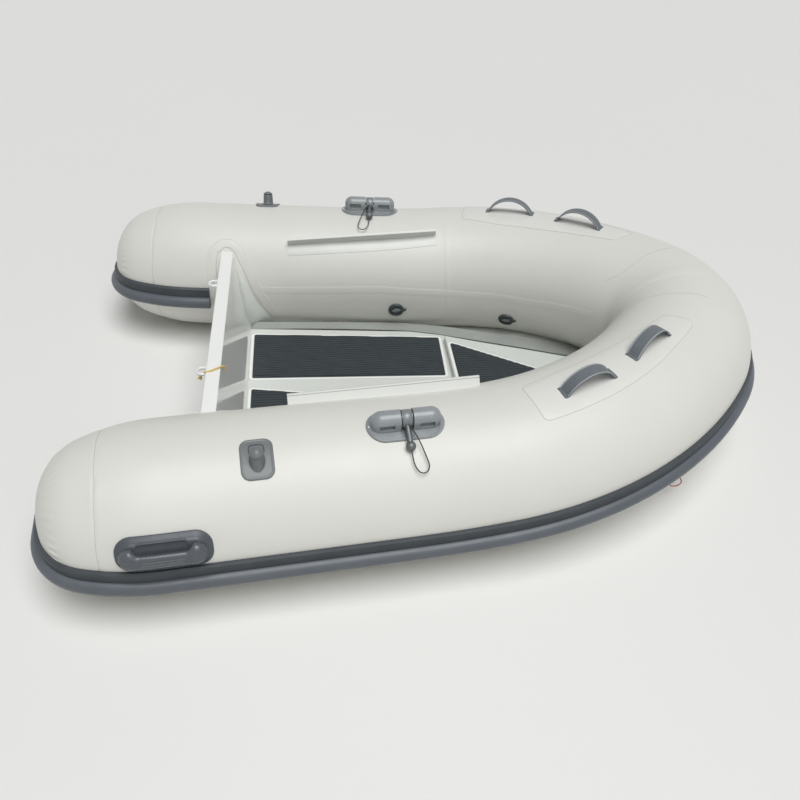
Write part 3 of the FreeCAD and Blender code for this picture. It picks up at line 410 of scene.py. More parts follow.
def lathe(place, profile, n=40):
    """Profile of (radius, height) turned about the frame's Z, from the rim to the middle of the top."""
    verts = [place @ Vector((r * math.cos(math.tau * j / n), r * math.sin(math.tau * j / n), z))
             for r, z in profile for j in range(n)]
    faces = flipped(grid_faces(len(profile), n, wrap=True))
    if profile[-1][0] > 0:
        faces.append(tuple(range((len(profile) - 1) * n, len(profile) * n)))
    return verts, faces


def ellipse(a, b, n, y=0.0, z=0.0, power=1.0):
    """Oval of half width a and half height b. A power below 1 makes it squarer."""
    out = []
    for j in range(n):
        t = math.tau * j / n
        c, s = math.cos(t), math.sin(t)
        out.append((y + a * math.copysign(abs(c) ** power, c), z + b * math.copysign(abs(s) ** power, s)))
    return out


def dense_line(points, step):
    """Points along a polyline, no further apart than the step."""
    dense = []
    for p, q in zip(points, points[1:]):
        count = max(1, math.ceil((q - p).length / step))
        dense += [p.lerp(q, k / count) for k in range(count)]
    return dense + [points[-1]]


def direction(points, i):
    """Way along a polyline at one of its points."""
    return (points[min(i + 1, len(points) - 1)] - points[max(i - 1, 0)]).normalized()


def rounded(corners, radius, step=0.006):
    """Anticlockwise outline with rounded corners, as closely spaced points."""
    out = []
    n = len(corners)
    radii = radius if isinstance(radius, (list, tuple)) else [radius] * n
    for i in range(n):
        before, corner, after = (Vector(corners[(i + k) % n]) for k in (-1, 0, 1))
        back, ahead = (before - corner).normalized(), (after - corner).normalized()
        half = math.acos(max(-1, min(1, back.dot(ahead)))) / 2
        trim = radii[i] / math.tan(half)
        centre = corner + (back + ahead).normalized() * (radii[i] / math.sin(half))
        first, last = corner + back * trim - centre, corner + ahead * trim - centre
        arc = math.pi - 2 * half
        count = max(2, math.ceil(radii[i] * arc / min(step, 0.004)))
        start = math.atan2(first.y, first.x)
        sense = 1 if first.x * last.y - first.y * last.x > 0 else -1
        turns = [start + sense * arc * k / count for k in range(count + 1)]
        out += [centre + Vector((math.cos(t), math.sin(t))) * radii[i] for t in turns]
    dense = dense_line(out + out[:1], step)[:-1]
    return [p for p, q in zip(dense, dense[1:] + dense[:1]) if (q - p).length > 1e-5]


def inset(loop, distance):
    """Anticlockwise outline moved inwards."""
    out = []
    n = len(loop)
    for i in range(n):
        along = (loop[(i + 1) % n] - loop[i - 1]).normalized()
        out.append(loop[i] + Vector((-along.y, along.x)) * distance)
    return out


def inside(p, loop):
    """True if a point lies within an outline."""
    odd = False
    for a, b in zip(loop, loop[1:] + loop[:1]):
        if (a.y > p.y) != (b.y > p.y) and p.x < (b.x - a.x) * (p.y - a.y) / (b.y - a.y) + a.x:
            odd = not odd
    return odd


def plate(outline, rings, place, spacing):
    """Sheet over an outline. Rings of (inset, height) shape its edge, and place maps (x, y, height) to a point."""
    points, edges, heights = [], [], []
    for distance, h in rings:
        loop = inset(outline, distance)
        first = len(points)
        points += loop
        heights += [h] * len(loop)
        edges += [(first + i, first + (i + 1) % len(loop)) for i in range(len(loop))]
    last = points[-len(outline):]
    guard = inset(last, spacing * 0.5)
    xs, ys = [p.x for p in last], [p.y for p in last]
    x = min(xs) + spacing / 2
    while x < max(xs):
        y = min(ys) + spacing / 2
        while y < max(ys):
            p = Vector((x, y))
            if inside(p, guard):
                points.append(p)
                heights.append(rings[-1][1])
            y += spacing
        x += spacing
    made, _, faces, sources, _, _ = delaunay_2d_cdt(points, edges, [], 1, 1e-7)
    verts = []
    for p, source in zip(made, sources):
        verts.append(place(p.x, p.y, heights[source[0]] if source else rings[-1][1]))
    return verts, [tuple(f) for f in faces]


def wrapped(s0, a0):
    """Map from a fitting's own (x, y, height) to the tube's skin round a place on it."""
    return lambda x, y, h: skin(s0 + x, a0 - math.degrees(y / RADIUS), h)


def flat(place):
    """Map from (x, y, height) to a point in a frame."""
    return lambda x, y, h: place @ Vector((x, y, h))


def ease(x, a, b):
    """Smooth step from 0 at a to 1 at b."""
    t = max(0.0, min(1.0, (x - a) / (b - a)))
    return t * t * (3 - 2 * t)


# Camera, as the photograph was taken: angles in radians, place in metres, lens and sensor in millimetres
YAW, PITCH, ROLL = 0.1395, 0.6879, 0.0537
CAMERA_AT = (0.6531, -1.9922, 1.6727)
LENS, SENSOR = 36.33, 36
ahead = Vector((math.sin(YAW) * math.cos(PITCH), math.cos(YAW) * math.cos(PITCH), -math.sin(PITCH)))
level = Vector((math.cos(YAW), -math.sin(YAW), 0))
raised = level.cross(ahead)
right = math.cos(ROLL) * level + math.sin(ROLL) * raised
up = -math.sin(ROLL) * level + math.cos(ROLL) * raised
camera = new_object("camera", bpy.data.cameras.new("camera"))
camera.matrix_world = axes(right, up, -ahead, CAMERA_AT)
camera.data.sensor_width = SENSOR
camera.data.lens = LENS
bpy.context.scene.camera = camera


# Frames of the oarlocks and of their folded pins, which point along Y
LOCK_AT = (0.871, 80.2)
LOCK = on_tube(*LOCK_AT)
HINGE = LOCK @ shift(0, 0, 0.024)
MIRROR = Matrix.Diagonal((1, -1, 1, 1))
PINS = {"port": HINGE @ turn("Z", 180), "starboard": MIRROR @ HINGE}


# Cords
def add_cord(name, points, diameter, material, node, body="boat"):
    """Free cord along points, from its exit to its far end, which stands for a CAD node."""
    curve = bpy.data.curves.new(name, "CURVE")
    curve.dimensions = "3D"
    curve.bevel_depth = diameter / 2
    curve.bevel_resolution = 4
    curve.resolution_u = 12
    curve.use_fill_caps = True
    curve.materials.append(MATERIALS[material])
    spline = curve.splines.new("NURBS")
    spline.points.add(len(points) - 1)
    for point, place in zip(spline.points, points):
        point.co = (*place, 1)
    spline.order_u = 3
    spline.use_endpoint_u = True
    obj = new_object(name, curve)
    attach(obj, body)
    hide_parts(node)


def knot(name, centre, size, diameter, material):
    """Overhand knot: a trefoil of cord pulled tight."""
    place = facing(centre, (0, 0, 1), "Z", "Y")
    n = 60
    points = []
    for j in range(n + 1):
        t = math.tau * j / n
        points.append(place @ (Vector((math.sin(t) + 2 * math.sin(2 * t), math.cos(t) - 2 * math.cos(2 * t),
                                       -math.sin(3 * t))) * (size / 3)))
    frames = [facing(points[j], (points[(j + 1) % n] - points[(j - 1) % n]).normalized()) for j in range(n + 1)]
    return add_piece(name, sweep(frames, ellipse(diameter / 2, diameter / 2, 8)), material)


# Retaining cord of an oarlock pin, in the frame of the folded pin, in millimetres
LOCK_CORD = [(0, 20, 0), (8, 31, -2), (17, 50, -8), (25, 72, -19), (32, 93, -32), (38, 113, -43), (30, 126, -51),
             (14, 126.5, -51), (4, 113, -44), (0.5, 96, -35), (0, 79, -25)]
for side, place in PINS.items():
    points = [place @ (Vector(p) / 1000) for p in LOCK_CORD]
    add_cord(f"pin_cord_{side}", points, 0.003, "cord_black", f"oarlock_cord_{side}",
             body=f"pin_{side}")

# Cord over the transom and through the starboard lifting eye, from its end on the fore face, in millimetres
TRANSOM_CORD = [(421.5, -216, 325), (421, -216.5, 336.5), (416, -220, 343.4), (400, -230.5, 343),
                (383, -241, 342.4), (369, -240, 338), (360, -228, 326), (352, -223, 306)]
points = [Vector(p) / 1000 for p in TRANSOM_CORD]
end_knot = knot("transom_cord_knot", points[-1] + Vector((0, 0, 0.001)), 0.0048, 0.0042, "cord_yellow")
add_cord("eye_cord", points, 0.005, "cord_yellow", "transom_cord")

# Loop that hangs from the starboard tow ring, along the boat's length, in millimetres
RING_CORD = [(-3, -2), (-13, 9), (-19, 23), (-11, 37), (11, 37), (19, 23), (13, 9), (3, -2)]
top = MIRROR @ on_tube(1.608, -48) @ Vector((0, 0, 0.0405))
points = [top + Vector((along, 0, -down)) / 1000 for along, down in RING_CORD]
loop_knot = knot("ring_cord_knot", top - Vector((0, 0, 0.002)), 0.0036, 0.0026, "cord_red")
add_cord("tow_ring_loop", points, 0.003, "cord_red", "ring_cord")


# Inflated tubes: one skin a side, from the flat end of the stern cone to the middle of the bow
def seam_at(a):
    """Distance along the axis of the stern cone's seam, which lies further aft low on the outboard side."""
    low, high = min(a - 65, 0) / 45, max(a - 180, 0) / 125
    return 0.146 + 0.013 * math.exp(-0.9 * (low * low + high * high))


def gathers(s, a):
    """Puckers where the end panel of the stern cone is gathered, and a shallow valley along its seam."""
    t = math.radians(a)
    swing = 0.62 + 0.38 * math.sin(3 * t + 1.0) * math.sin(7 * t + 0.4)
    ridge = math.sin(44 * t + 1.3 * math.sin(5 * t))
    where = math.exp(-((s - 0.05) / 0.011) ** 2)
    valley = math.exp(-((s - seam_at(a)) / 0.0045) ** 2)
    pinch = 1.0 + 0.9 * math.sin(9 * t + 2.0) * math.sin(4 * t)
    lumps = math.exp(-((s - seam_at(a)) / 0.016) ** 2) * math.exp(-((a - 56) / 5.5) ** 2)
    return 0.0014 * swing * ridge * where - 0.0009 * valley * pinch + 0.0022 * lumps


ROUND = 300
ANGLES = [360 * j / ROUND for j in range(ROUND + 1)]
# Distances along the axis at which the skin has a row: close together at the gathers and at the cone's seam
stations = [-CONE_FLAT * (1 - k / 4) for k in range(4)]
stations += [CONE_CORNER * (1 - math.cos(math.radians(2.4 * k))) for k in range(1, 16)]
stations += [stations[-1] + 0.0035 * k for k in range(1, 14)]
stations += [0.084, 0.095, 0.107, 0.12, 0.13, 0.136, 0.14, 0.1435, 0.146, 0.1485, 0.151, 0.1535, 0.156,
             0.158, 0.16, 0.162, 0.164, 0.167, 0.171, 0.176, 0.183, 0.194, 0.212, 0.232, 0.252, CONE]
stations += [CONE + (STRAIGHT - CONE) * k / 16 for k in range(1, 17)]
stations += [STRAIGHT + KNEE_LENGTH * k / 8 for k in range(1, 9)]
stations += [STRAIGHT + KNEE_LENGTH + QUARTER_LENGTH * k / 30 for k in range(1, 31)]
stations = sorted(set(round(s, 6) for s in stations))
NOSE_ROWS = 24
bow_middle = [middle_of_bow(a) for a in ANGLES]
verts, uv = [], []
for s in stations:
    for a in ANGLES:
        verts.append(skin(s, a, gathers(s, a)))
        uv.append((s, math.radians(a) * RADIUS))
for k in range(1, NOSE_ROWS + 1):
    for a, end in zip(ANGLES, bow_middle):
        s = NOSE_AT + (end - NOSE_AT) * k / NOSE_ROWS
        p = skin(s, a)
        verts.append(Vector((p.x, 0, p.z)) if k == NOSE_ROWS else p)
        uv.append((s, math.radians(a) * RADIUS))
shape = verts, grid_faces(len(stations) + NOSE_ROWS, len(ANGLES))
both("tube_skin", shape, "tube_fabric", ("stern_cone", "side_tube", "bow_quarter", "bow_nose"), uv=uv)


def graded(low, high, edge, count):
    """Places from low to high, each with its level: 0 at the ends, 1 near them and 2 between."""
    middle = [(low + edge + (high - low - 2 * edge) * k / count, 2) for k in range(count + 1)]
    return [(low, 0), (low + edge / 3, 1)] + middle + [(high - edge / 3, 1), (high, 0)]


def path_strip(points, width, thick, step=0.012, offset=0.0):
    """Thin strip of fabric on the skin along a polyline of (distance, angle), or beside it."""
    section = ((-1, -0.3), (-0.97, 0.7), (-0.88, 1), (0, 1), (0.88, 1), (0.97, 0.7), (1, -0.3))
    dense = dense_line([Vector((s, math.radians(a) * RADIUS)) for s, a in points], step)
    half = width / 2
    verts = []
    for i, p in enumerate(dense):
        along = direction(dense, i)
        side = Vector((-along.y, along.x))
        p = p + side * offset
        for w, h in section:
            q = p + side * half * w
            verts.append(skin(q.x, math.degrees(q.y / RADIUS), thick * h))
    return verts, grid_faces(len(dense), len(section))


# Seams and tapes on the tube
verts = []
SEAM_ROWS = 178
for a in [-12 + 2 * k for k in range(SEAM_ROWS)]:
    for across, lift in ((-0.0008, -0.0002), (-0.0005, 0.0003), (0.0005, 0.0003), (0.0008, -0.0002)):
        s = seam_at(a) + across
        verts.append(skin(s, a, gathers(s, a) + lift))
both("cone_seam", (verts, flipped(grid_faces(SEAM_ROWS, 4))), "seam_line", slot="tube_fabric")
INNER_SEAM = [(0.5, 172), (0.55, 173), (0.92, 169), (1.22, 175.3), (1.51, 176.4), (1.8, 170)]
both("inner_seam", path_strip(INNER_SEAM, 0.024, 0.0004), "tube_fabric")
CROSS_EDGE = 0.0012
along, round_it = graded(1.14, 1.164, CROSS_EDGE, 2), graded(100, 205, math.degrees(CROSS_EDGE / RADIUS), 27)
lifts = (-0.0003, 0.00021, 0.0003)
verts = [skin(s, a, lifts[min(i, j)]) for s, i in along for a, j in round_it]
both("cross_seam", (verts, grid_faces(len(along), len(round_it))), "tube_fabric")
BOW_ARC = [(1.804, 137.7), (1.837, 129.7), (1.863, 121.4), (1.87, 112.7), (1.875, 103.9), (1.881, 92.7),
           (1.887, 84.1), (1.889, 75.8)]
both("bow_arc_seam", path_strip(BOW_ARC, 0.0014, 0.0003, step=0.006), "seam_line", slot="tube_fabric")
verts = []
BOW_TAPE = [k * 3.0 for k in range(-8, 63)]
for a in BOW_TAPE:
    end = middle_of_bow(a)
    row = [skin(end - back, a, lift)
           for back, lift in ((0.0205, -0.0003), (0.02, 0.0003), (0.0185, 0.0005), (0.01, 0.0005))]
    p = skin(end, a, 0.0005)
    verts += row + [Vector((p.x, 0, p.z))] + [Vector((q.x, -q.y, q.z)) for q in reversed(row)]
add_piece("bow_seam", (verts, grid_faces(len(BOW_TAPE), 9)), "tube_fabric")


# Round end caps on the stern cones
def on_cone_end(x, y, h):
    """Map from a disc to the flat end of a stern cone and the rounding about it."""
    r, a = math.hypot(x, y), math.degrees(math.atan2(y, x))
    if r <= CONE_FLAT:
        return skin(r - CONE_FLAT, a, h)
    return skin(CONE_CORNER - math.sqrt(CONE_CORNER ** 2 - (r - CONE_FLAT) ** 2), a, h)


CAP_RADIUS = 0.058
disc = [Vector(p) for p in ellipse(CAP_RADIUS, CAP_RADIUS, 72)]
shape = plate(disc, [(0, -0.0003), (0.0005, 0.0008), (0.0016, 0.0011)], on_cone_end, spacing=0.009)
both("cone_cap", shape, "patch_fabric")

# Tape on the tube about the transom and its knees, with a line along one edge and a hem along the other
TAPE = [(0.556, 203), (0.54, 192), (0.504, 173), (0.479, 155), (0.444, 137), (0.418, 131), (0.392, 131),
        (0.362, 138), (0.356, 152), (0.362, 175)]
both("transom_tape", path_strip(TAPE, 0.03, 0.0009, step=0.008), "tape_fabric", slot="patch_fabric")
both("tape_line", path_strip(TAPE, 0.0014, 0.001, step=0.008, offset=-0.0152), "seam_line", slot="patch_fabric")
both("tape_hem", path_strip(TAPE, 0.0022, 0.0016, step=0.008, offset=0.0146), "patch_fabric")

# Patch under the two strap handles of a side: its corners as (distance, angle, rounding)
PATCH_AT = (1.485, 85)
PATCH = [(1.203, 99, 0.016), (1.335, 105.7, 0.08), (1.482, 106.4, 0.08), (1.628, 103.4, 0.08), (1.745, 98, 0.02),
         (1.77, 75.0, 0.02), (1.643, 73.1, 0.08), (1.526, 69.8, 0.08), (1.394, 67.3, 0.08), (1.216, 65.0, 0.016)]
outline = rounded([(s - PATCH_AT[0], math.radians(PATCH_AT[1] - a) * RADIUS) for s, a, _ in PATCH],
                  [r for _, _, r in PATCH])
shape = plate(outline, [(0, -0.0003), (0.0004, 0.0008), (0.0014, 0.0011)], wrapped(*PATCH_AT), 0.018)
both("handle_patch", shape, "patch_fabric")


def outline_ring(outline, out, into, place, low, high):
    """Narrow band along an outline, from one distance outside it to another inside it."""
    outer, inner = inset(outline, -out), inset(outline, into)
    middle = inset(outline, (into - out) / 2)
    verts = [place(p.x, p.y, h) for loop, h in ((outer, low), (middle, high), (inner, low)) for p in loop]
    return verts, flipped(grid_faces(3, len(outline), wrap=True))


shape = outline_ring(outline, 0.0008, 0.0006, wrapped(*PATCH_AT), 0.0, 0.0013)
both("patch_line", shape, "seam_line", slot="patch_fabric")


# Webbing handles: a wide arch whose flat feet lie under the patch
STRAP_HALF = 0.0192
STRAP_THICK = 0.003
STITCH_AT = 0.0163


def strap_path():
    """Middle line of an arch as (along, height, slope in radians): tight turns at its feet, a wide one between."""
    run, rise, tight = 0.076, 0.043, 0.008
    whole = (run * run + rise * rise) / (2 * rise)
    lean = math.asin(run / whole)
    wide = whole - tight
    low, top = STRAP_THICK / 2, STRAP_THICK / 2 + rise - wide
    path = []
    for t in [lean * k / 8 for k in range(9)]:
        path.append((-run + tight * math.sin(t), low + tight * (1 - math.cos(t)), t))
    for t in [lean * (1 - k / 14) for k in range(1, 15)]:
        path.append((-wide * math.sin(t), top + wide * math.cos(t), t))
    return path + [(-x, z, -t) for x, z, t in reversed(path[:-1])]


STRAP = strap_path()
for stem, s, a in (("aft", 1.3625, 83), ("fore", 1.5955, 87)):
    place, on_patch = on_tube(s, a), wrapped(s, a)
    frames = [place @ shift(x, 0, z) @ Matrix.Rotation(-t, 4, "Y") for x, z, t in STRAP]
    section = ellipse(STRAP_HALF, STRAP_THICK / 2, 28, power=0.32)
    arch = []
    for f, (x, h, t) in zip(frames, STRAP):
        sag = (1 - ease(h, 0.002, 0.014)) / (2 * RADIUS)
        arch.append([f @ Vector((0, y, z)) - f.to_3x3() @ Vector((0, 0, y * y * sag)) for y, z in section])
    feet = [[on_patch(x, y, 0.6 * z - 0.0014) for y, z in section] for x in
            (-0.102, -0.098, -0.09, -0.082, 0.082, 0.09, 0.098, 0.102)]
    rows = feet[:4] + arch + feet[4:]
    length = [0.0]
    for before, after in zip(rows, rows[1:]):
        length.append(length[-1] + (after[0] - before[0]).length)
    uv = [(u, y) for u in length for y, z in section]
    both(f"webbing_handle_{stem}", capped(rows), "webbing", (f"strap_handle_{stem}",), uv=uv, smooth=40)
    shape = merged([sweep(frames[4:-4], ellipse(0.0011, 0.0004, 8, y=y, z=z))
                    for y in (-STITCH_AT, STITCH_AT) for z in (-0.00145, 0.00145)])
    both(f"handle_thread_{stem}", shape, "thread", slot="webbing")


def box(half_length, half_width):
    """Corners of an oblong about the middle."""
    return [(-half_length, -half_width), (half_length, -half_width), (half_length, half_width),
            (-half_length, half_width)]


# Moulded grab handle: stepped plate, rim of the finger pocket, and a bar with bulged ends and small studs
GRAB = (0.296, 14.5)
on_grab = wrapped(*GRAB)
outline = rounded(box(0.1075, 0.047), 0.0395, step=0.005)
rings = [(0, -0.0008), (0.0006, 0.0034), (0.0022, 0.005), (0.0085, 0.0053), (0.0097, 0.0075), (0.0112, 0.0088),
         (0.0158, 0.0091), (0.017, 0.0113), (0.0185, 0.0124), (0.022, 0.0126)]
shape = plate(outline, rings, on_grab, spacing=0.008)
both("grab_plate", shape, "fitting_mid", ("grab_handle",), slot="fitting_grey")
outline = rounded([(-0.062, -0.035), (0.058, -0.035), (0.058, 0.002), (-0.062, 0.002)], 0.016, step=0.004)
shape = plate(outline, [(0, 0.012), (0.0008, 0.0158), (0.0024, 0.016), (0.004, 0.0142), (0.0056, 0.0128)],
              on_grab, spacing=0.008)
both("grab_pocket", shape, "fitting_mid", slot="fitting_grey")
BAR_END, BULGE_AT, BAR_Y, BAR_Z = 0.0935, 0.07, 0.0045, 0.024
rows = []
for k in range(61):
    x = -BAR_END + 2 * BAR_END * k / 60
    bulge = ease(abs(x), 0.05, BULGE_AT)
    close = math.sqrt(max(0.0, 1 - (max(0.0, abs(x) - BULGE_AT) / 0.0242) ** 2))
    wide = (0.0155 + 0.009 * bulge) * (0.25 + 0.75 * close)
    tall = (0.0095 + 0.01 * bulge) * (0.25 + 0.75 * close)
    y = BAR_Y - 0.005 * bulge
    z = BAR_Z - 0.008 * bulge - 0.003 * (1 - close)
    rows.append([on_grab(x, y + p, z + q) for p, q in ellipse(wide, tall, 28, power=0.8)])
both("grab_bar", capped(rows), "grab_grey", slot="fitting_grey")
# Studs of the knurling in a lighter grey than the bar: painted highlights on the knurled bar
STUD_ROWS, STUDS, STUD_PITCH = 4, 27, 0.0033
studs = []
for row in range(STUD_ROWS):
    t = math.radians(28 + 24 * row)
    y, z = BAR_Y + 0.015 * math.cos(t), BAR_Z + 0.0092 * math.sin(t)
    for k in range(STUDS):
        x = -0.044 + STUD_PITCH * k + (0.0016 if row % 2 else 0)
        centre = on_grab(x, y, z)
        out = (on_grab(x, y + 0.001 * math.cos(t), z + 0.001 * math.sin(t)) - centre).normalized()
        studs.append(lathe(facing(centre - out * 0.0004, out, "Z", "Y"),
                           [(0.0014, 0.0), (0.0011, 0.0011), (0.0005, 0.0015)], 6))
both("grab_studs", merged(studs), "fitting_grey")

# Oar peg: rimmed plate, post on a wide foot, dark lines of painted shade on the plate round the post and in the
# groove under the cap, and the cap
PEG = (0.517, 66.5)
on_peg = wrapped(*PEG)
peg = on_tube(*PEG)
outline = rounded(box(0.0385, 0.0505), 0.022, step=0.005)
rings = [(0, -0.0008), (0.0006, 0.0036), (0.0018, 0.005), (0.0045, 0.0052), (0.006, 0.0042), (0.0085, 0.0042)]
# The post's ovals as (height, half length, half width, how far they lie towards the foot)
POST = [(0.0036, 0.0185, 0.0275, 0.0065), (0.0052, 0.0172, 0.0258, 0.0065), (0.0075, 0.0165, 0.0245, 0.0062),
        (0.014, 0.0161, 0.0215, 0.0045), (0.022, 0.0158, 0.018, 0.0022), (0.03, 0.0155, 0.0158, 0.0004),
        (0.032, 0.0155, 0.0155, 0), (0.0328, 0.014, 0.014, 0)]
verts = [peg @ Vector((x, y, h)) for h, a, b, lean in POST for x, y in ellipse(a, b, 40, z=lean)]
shape = merged([plate(outline, rings, on_peg, spacing=0.009),
                (verts, flipped(grid_faces(len(POST), 40, wrap=True)))])
both("peg_moulding", shape, "peg_grey", ("oar_peg",), slot="fitting_grey")


def painted_shade_line(points, width, place, h):
    """Thin dark line laid along a path on a fitting: painted shade of a gap."""
    points = [Vector(p) for p in points]
    verts = []
    for i, p in enumerate(points):
        along = direction(points, i)
        side = Vector((-along.y, along.x)) * width / 2
        verts += [place(p.x - side.x, p.y - side.y, h), place(p.x + side.x, p.y + side.y, h)]
    return verts, grid_faces(len(points), 2)


# Painted shadow of the gap behind the post's top as a dark line on the plate, and a dark band in the groove under the
# cap
SHADE_LINE_X = 0.0172
arc = [(SHADE_LINE_X * math.copysign(abs(math.cos(t)) ** 0.45, math.cos(t)), -0.018 - 0.0155 * abs(math.sin(t)) ** 0.45)
       for t in [math.pi * k / 40 for k in range(41)]]
shape = merged([lathe(peg, [(0.0142, 0.0322), (0.0142, 0.0362), (0.0136, 0.0366)]),
                painted_shade_line([(SHADE_LINE_X, -0.012)] + arc + [(-SHADE_LINE_X, 0.01)], 0.003, on_peg, 0.00455)])
both("peg_painted_shade", shape, "painted_shade_dark", slot="fitting_grey")
shape = lathe(peg, [(0.014, 0.0352), (0.0158, 0.0358), (0.016, 0.037), (0.0146, 0.0386), (0.0105, 0.0414),
                    (0.0058, 0.0438), (0.0024, 0.0446), (0.0, 0.0447)])
both("peg_cap", shape, "peg_grey", slot="fitting_grey")

# Oarlock: raised rim and a screw on the base plate, and a band round the hub of the pin
RIM_HEIGHT = 0.0052
rim = rounded(box(0.0915, 0.042), 0.0415, step=0.005)
on_lock = wrapped(*LOCK_AT)
frames = []
for p, q in zip(rim, rim[1:] + rim[:1]):
    here, there = on_lock(p.x, p.y, RIM_HEIGHT), on_lock(q.x, q.y, RIM_HEIGHT)
    out = (on_lock(p.x, p.y, RIM_HEIGHT + 0.001) - here).normalized()
    forward = (there - here).normalized()
    frames.append(axes(forward, out.cross(forward).normalized(), out, here))
frames.append(frames[0])
both("lock_rim", sweep(frames, ellipse(0.0022, 0.0012, 8)), "lock_grey", slot="fitting_grey")
shape = lathe(LOCK @ shift(-0.0885, 0, 0.0046), [(0.0034, 0.0), (0.0032, 0.0012), (0.002, 0.002),
                                                 (0.001, 0.0022), (0.0008, 0.0012), (0.0, 0.0012)], 20)
both("lock_screw", shape, "ring_steel")
for side, place in PINS.items():
    hub = place @ shift(-0.0118, 0, 0) @ turn("Y", 90)
    shape = lathe(hub, [(0.02, 0.0), (0.0214, 0.0012), (0.0214, 0.0224), (0.02, 0.0236)], 48)
    add_piece(f"pin_band_{side}", shape, "hub_metal", slot="pin_metal", body=f"pin_{side}")

# Valves: dished ring, oval cap in it, and a pull tab, turned by the lean
for stem, s, a, lean in (("aft", 0.969, 190.4, 4), ("fore", 1.408, 201, 0)):
    place = on_tube(s, a)
    shape = lathe(place, [(0.0265, -0.002), (0.0265, 0.0024), (0.0256, 0.0048), (0.0236, 0.0062),
                          (0.0212, 0.0062), (0.02, 0.005), (0.0196, 0.002), (0.0, 0.002)])
    both(f"valve_ring_{stem}", shape, "valve_grey", (f"valve_{stem}",), smooth=50)
    dish = [Vector(p) for p in ellipse(0.0158, 0.007, 40, power=1.15)]
    dish = [(turn("Z", lean + 6) @ Vector((p.x + 0.001, p.y, 0))).to_2d() for p in dish]
    shape = plate(dish, [(0, 0.0018), (0.0006, 0.006), (0.002, 0.0068), (0.0045, 0.006)], flat(place), 0.004)
    both(f"valve_cap_{stem}", shape, "fitting_grey", slot="valve_grey")
    corner = [(0.018, -0.0115), (0.0385, 0.0), (0.018, 0.0115), (0.012, 0.0)]
    turned = turn("Z", lean)
    tab = rounded([(turned @ Vector((x, y, 0))).to_2d() for x, y in corner], [0.002, 0.003, 0.002, 0.002], 0.003)
    shape = plate(tab, [(0, 0.001), (0.0005, 0.0046), (0.0014, 0.0054)], flat(place), 0.004)
    both(f"valve_tab_{stem}", shape, "valve_grey")


# Grooved deck pads: a base sheet with bars of foam on it
def pad(name, corners, base_z, node):
    pitch, bar, narrow = 0.012, 0.0094, 0.0006
    section = ((0, 0.002, 0), (0.08, 0.0043, 0.6), (0.16, 0.0049, 1), (0.84, 0.0049, 1), (0.92, 0.0043, 0.6),
               (1, 0.002, 0))
    outline = rounded(corners, 0.006, step=0.02)
    parts = [plate(outline, [(0, 0), (0.0004, 0.0022), (0.0012, 0.0028)], flat(shift(0, 0, base_z)), 0.03)]
    inner = inset(outline, 0.0025)
    low, high = min(p.y for p in inner), max(p.y for p in inner)
    y = low + pitch * 0.5
    while y < high - pitch * 0.4:
        spans = []
        for edge_y in (y - bar / 2, y + bar / 2):
            crossings = sorted(a.x + (b.x - a.x) * (edge_y - a.y) / (b.y - a.y)
                               for a, b in zip(inner, inner[1:] + inner[:1]) if (a.y > edge_y) != (b.y > edge_y))
            if len(crossings) >= 2:
                spans.append((crossings[0], crossings[-1]))
        if len(spans) == 2 and all(b - a > 0.01 for a, b in spans):
            verts = []
            for end, push in ((0, narrow), (1, -narrow)):
                x0, x1 = spans[0][end], spans[1][end]
                for u, h, k in section:
                    verts.append(Vector((x0 + (x1 - x0) * u + push * k, y + bar * (u - 0.5), base_z + h)))
            faces = [(i, i + 1, i + 7, i + 6)[::-1] for i in range(5)]
            faces += [(0, 1, 2, 3, 4, 5), (11, 10, 9, 8, 7, 6)]
            parts.append((verts, faces))
        y += pitch
    add_piece(name, merged(parts), "deck_pad", replaces=[node], smooth=30)


DECK = 0.103
STEP = DECK + 0.022
PADS = [("port", "deck_pad_port", DECK, [(0.467, 0.031), (1.078, 0.015), (1.084, 0.221), (0.467, 0.267)]),
        ("starboard", "deck_pad_starboard", DECK,
         [(0.467, -0.267), (1.084, -0.221), (1.078, -0.132), (0.467, -0.025)]),
        ("bow", "bow_deck_pad", STEP, [(1.112, -0.16), (1.372, 0.0), (1.112, 0.16)])]
for name, piece, base_z, corners in PADS:
    pad(piece, corners, base_z, f"pad_{name}")

# White borders round the pads, and grey edges of the deck along the tubes, whose grey is partly painted shade of the
# gutter under the tubes
for name, piece, base_z, corners in PADS:
    shape = outline_ring(rounded(corners, 0.004, step=0.03), 0.0085, 0.0, flat(shift(0, 0, base_z)), 0.0002,
                         0.0009)
    add_piece(f"pad_border_{name}", shape, "deck_white", slot="hull_paint")
EDGE_OUT = [(0.457, 0.35), (0.467, 0.345), (0.619, 0.338), (0.79, 0.329), (0.962, 0.318), (1.111, 0.289),
            (1.197, 0.263), (1.295, 0.229), (1.392, 0.195), (1.488, 0.16), (1.57, 0.128)]
EDGE_IN = [(0.457, 0.302), (0.478, 0.301), (0.619, 0.298), (0.775, 0.288), (0.89, 0.278), (0.992, 0.267),
           (1.092, 0.241), (1.223, 0.197), (1.351, 0.153), (1.497, 0.102), (1.575, 0.07)]
verts = [Vector((x, y, DECK + 0.0007)) for pair in zip(EDGE_OUT, EDGE_IN) for x, y in pair]
both("deck_edge_shade", (verts, grid_faces(len(EDGE_OUT), 2)), "deck_edge_shade", slot="hull_paint", smooth=False)


# Weld beads along the knees and the lifting eyes
def weld(points, radius):
    """Rippled bead along points in millimetres."""
    dense = dense_line([Vector(p) / 1000 for p in points], 0.0016)
    radii = [radius * (0.86 + 0.14 * math.cos(math.tau * i / 3.0)) for i in range(len(dense))]
    return sweep([facing(p, direction(dense, i)) for i, p in enumerate(dense)], [ellipse(r, r, 8) for r in radii])


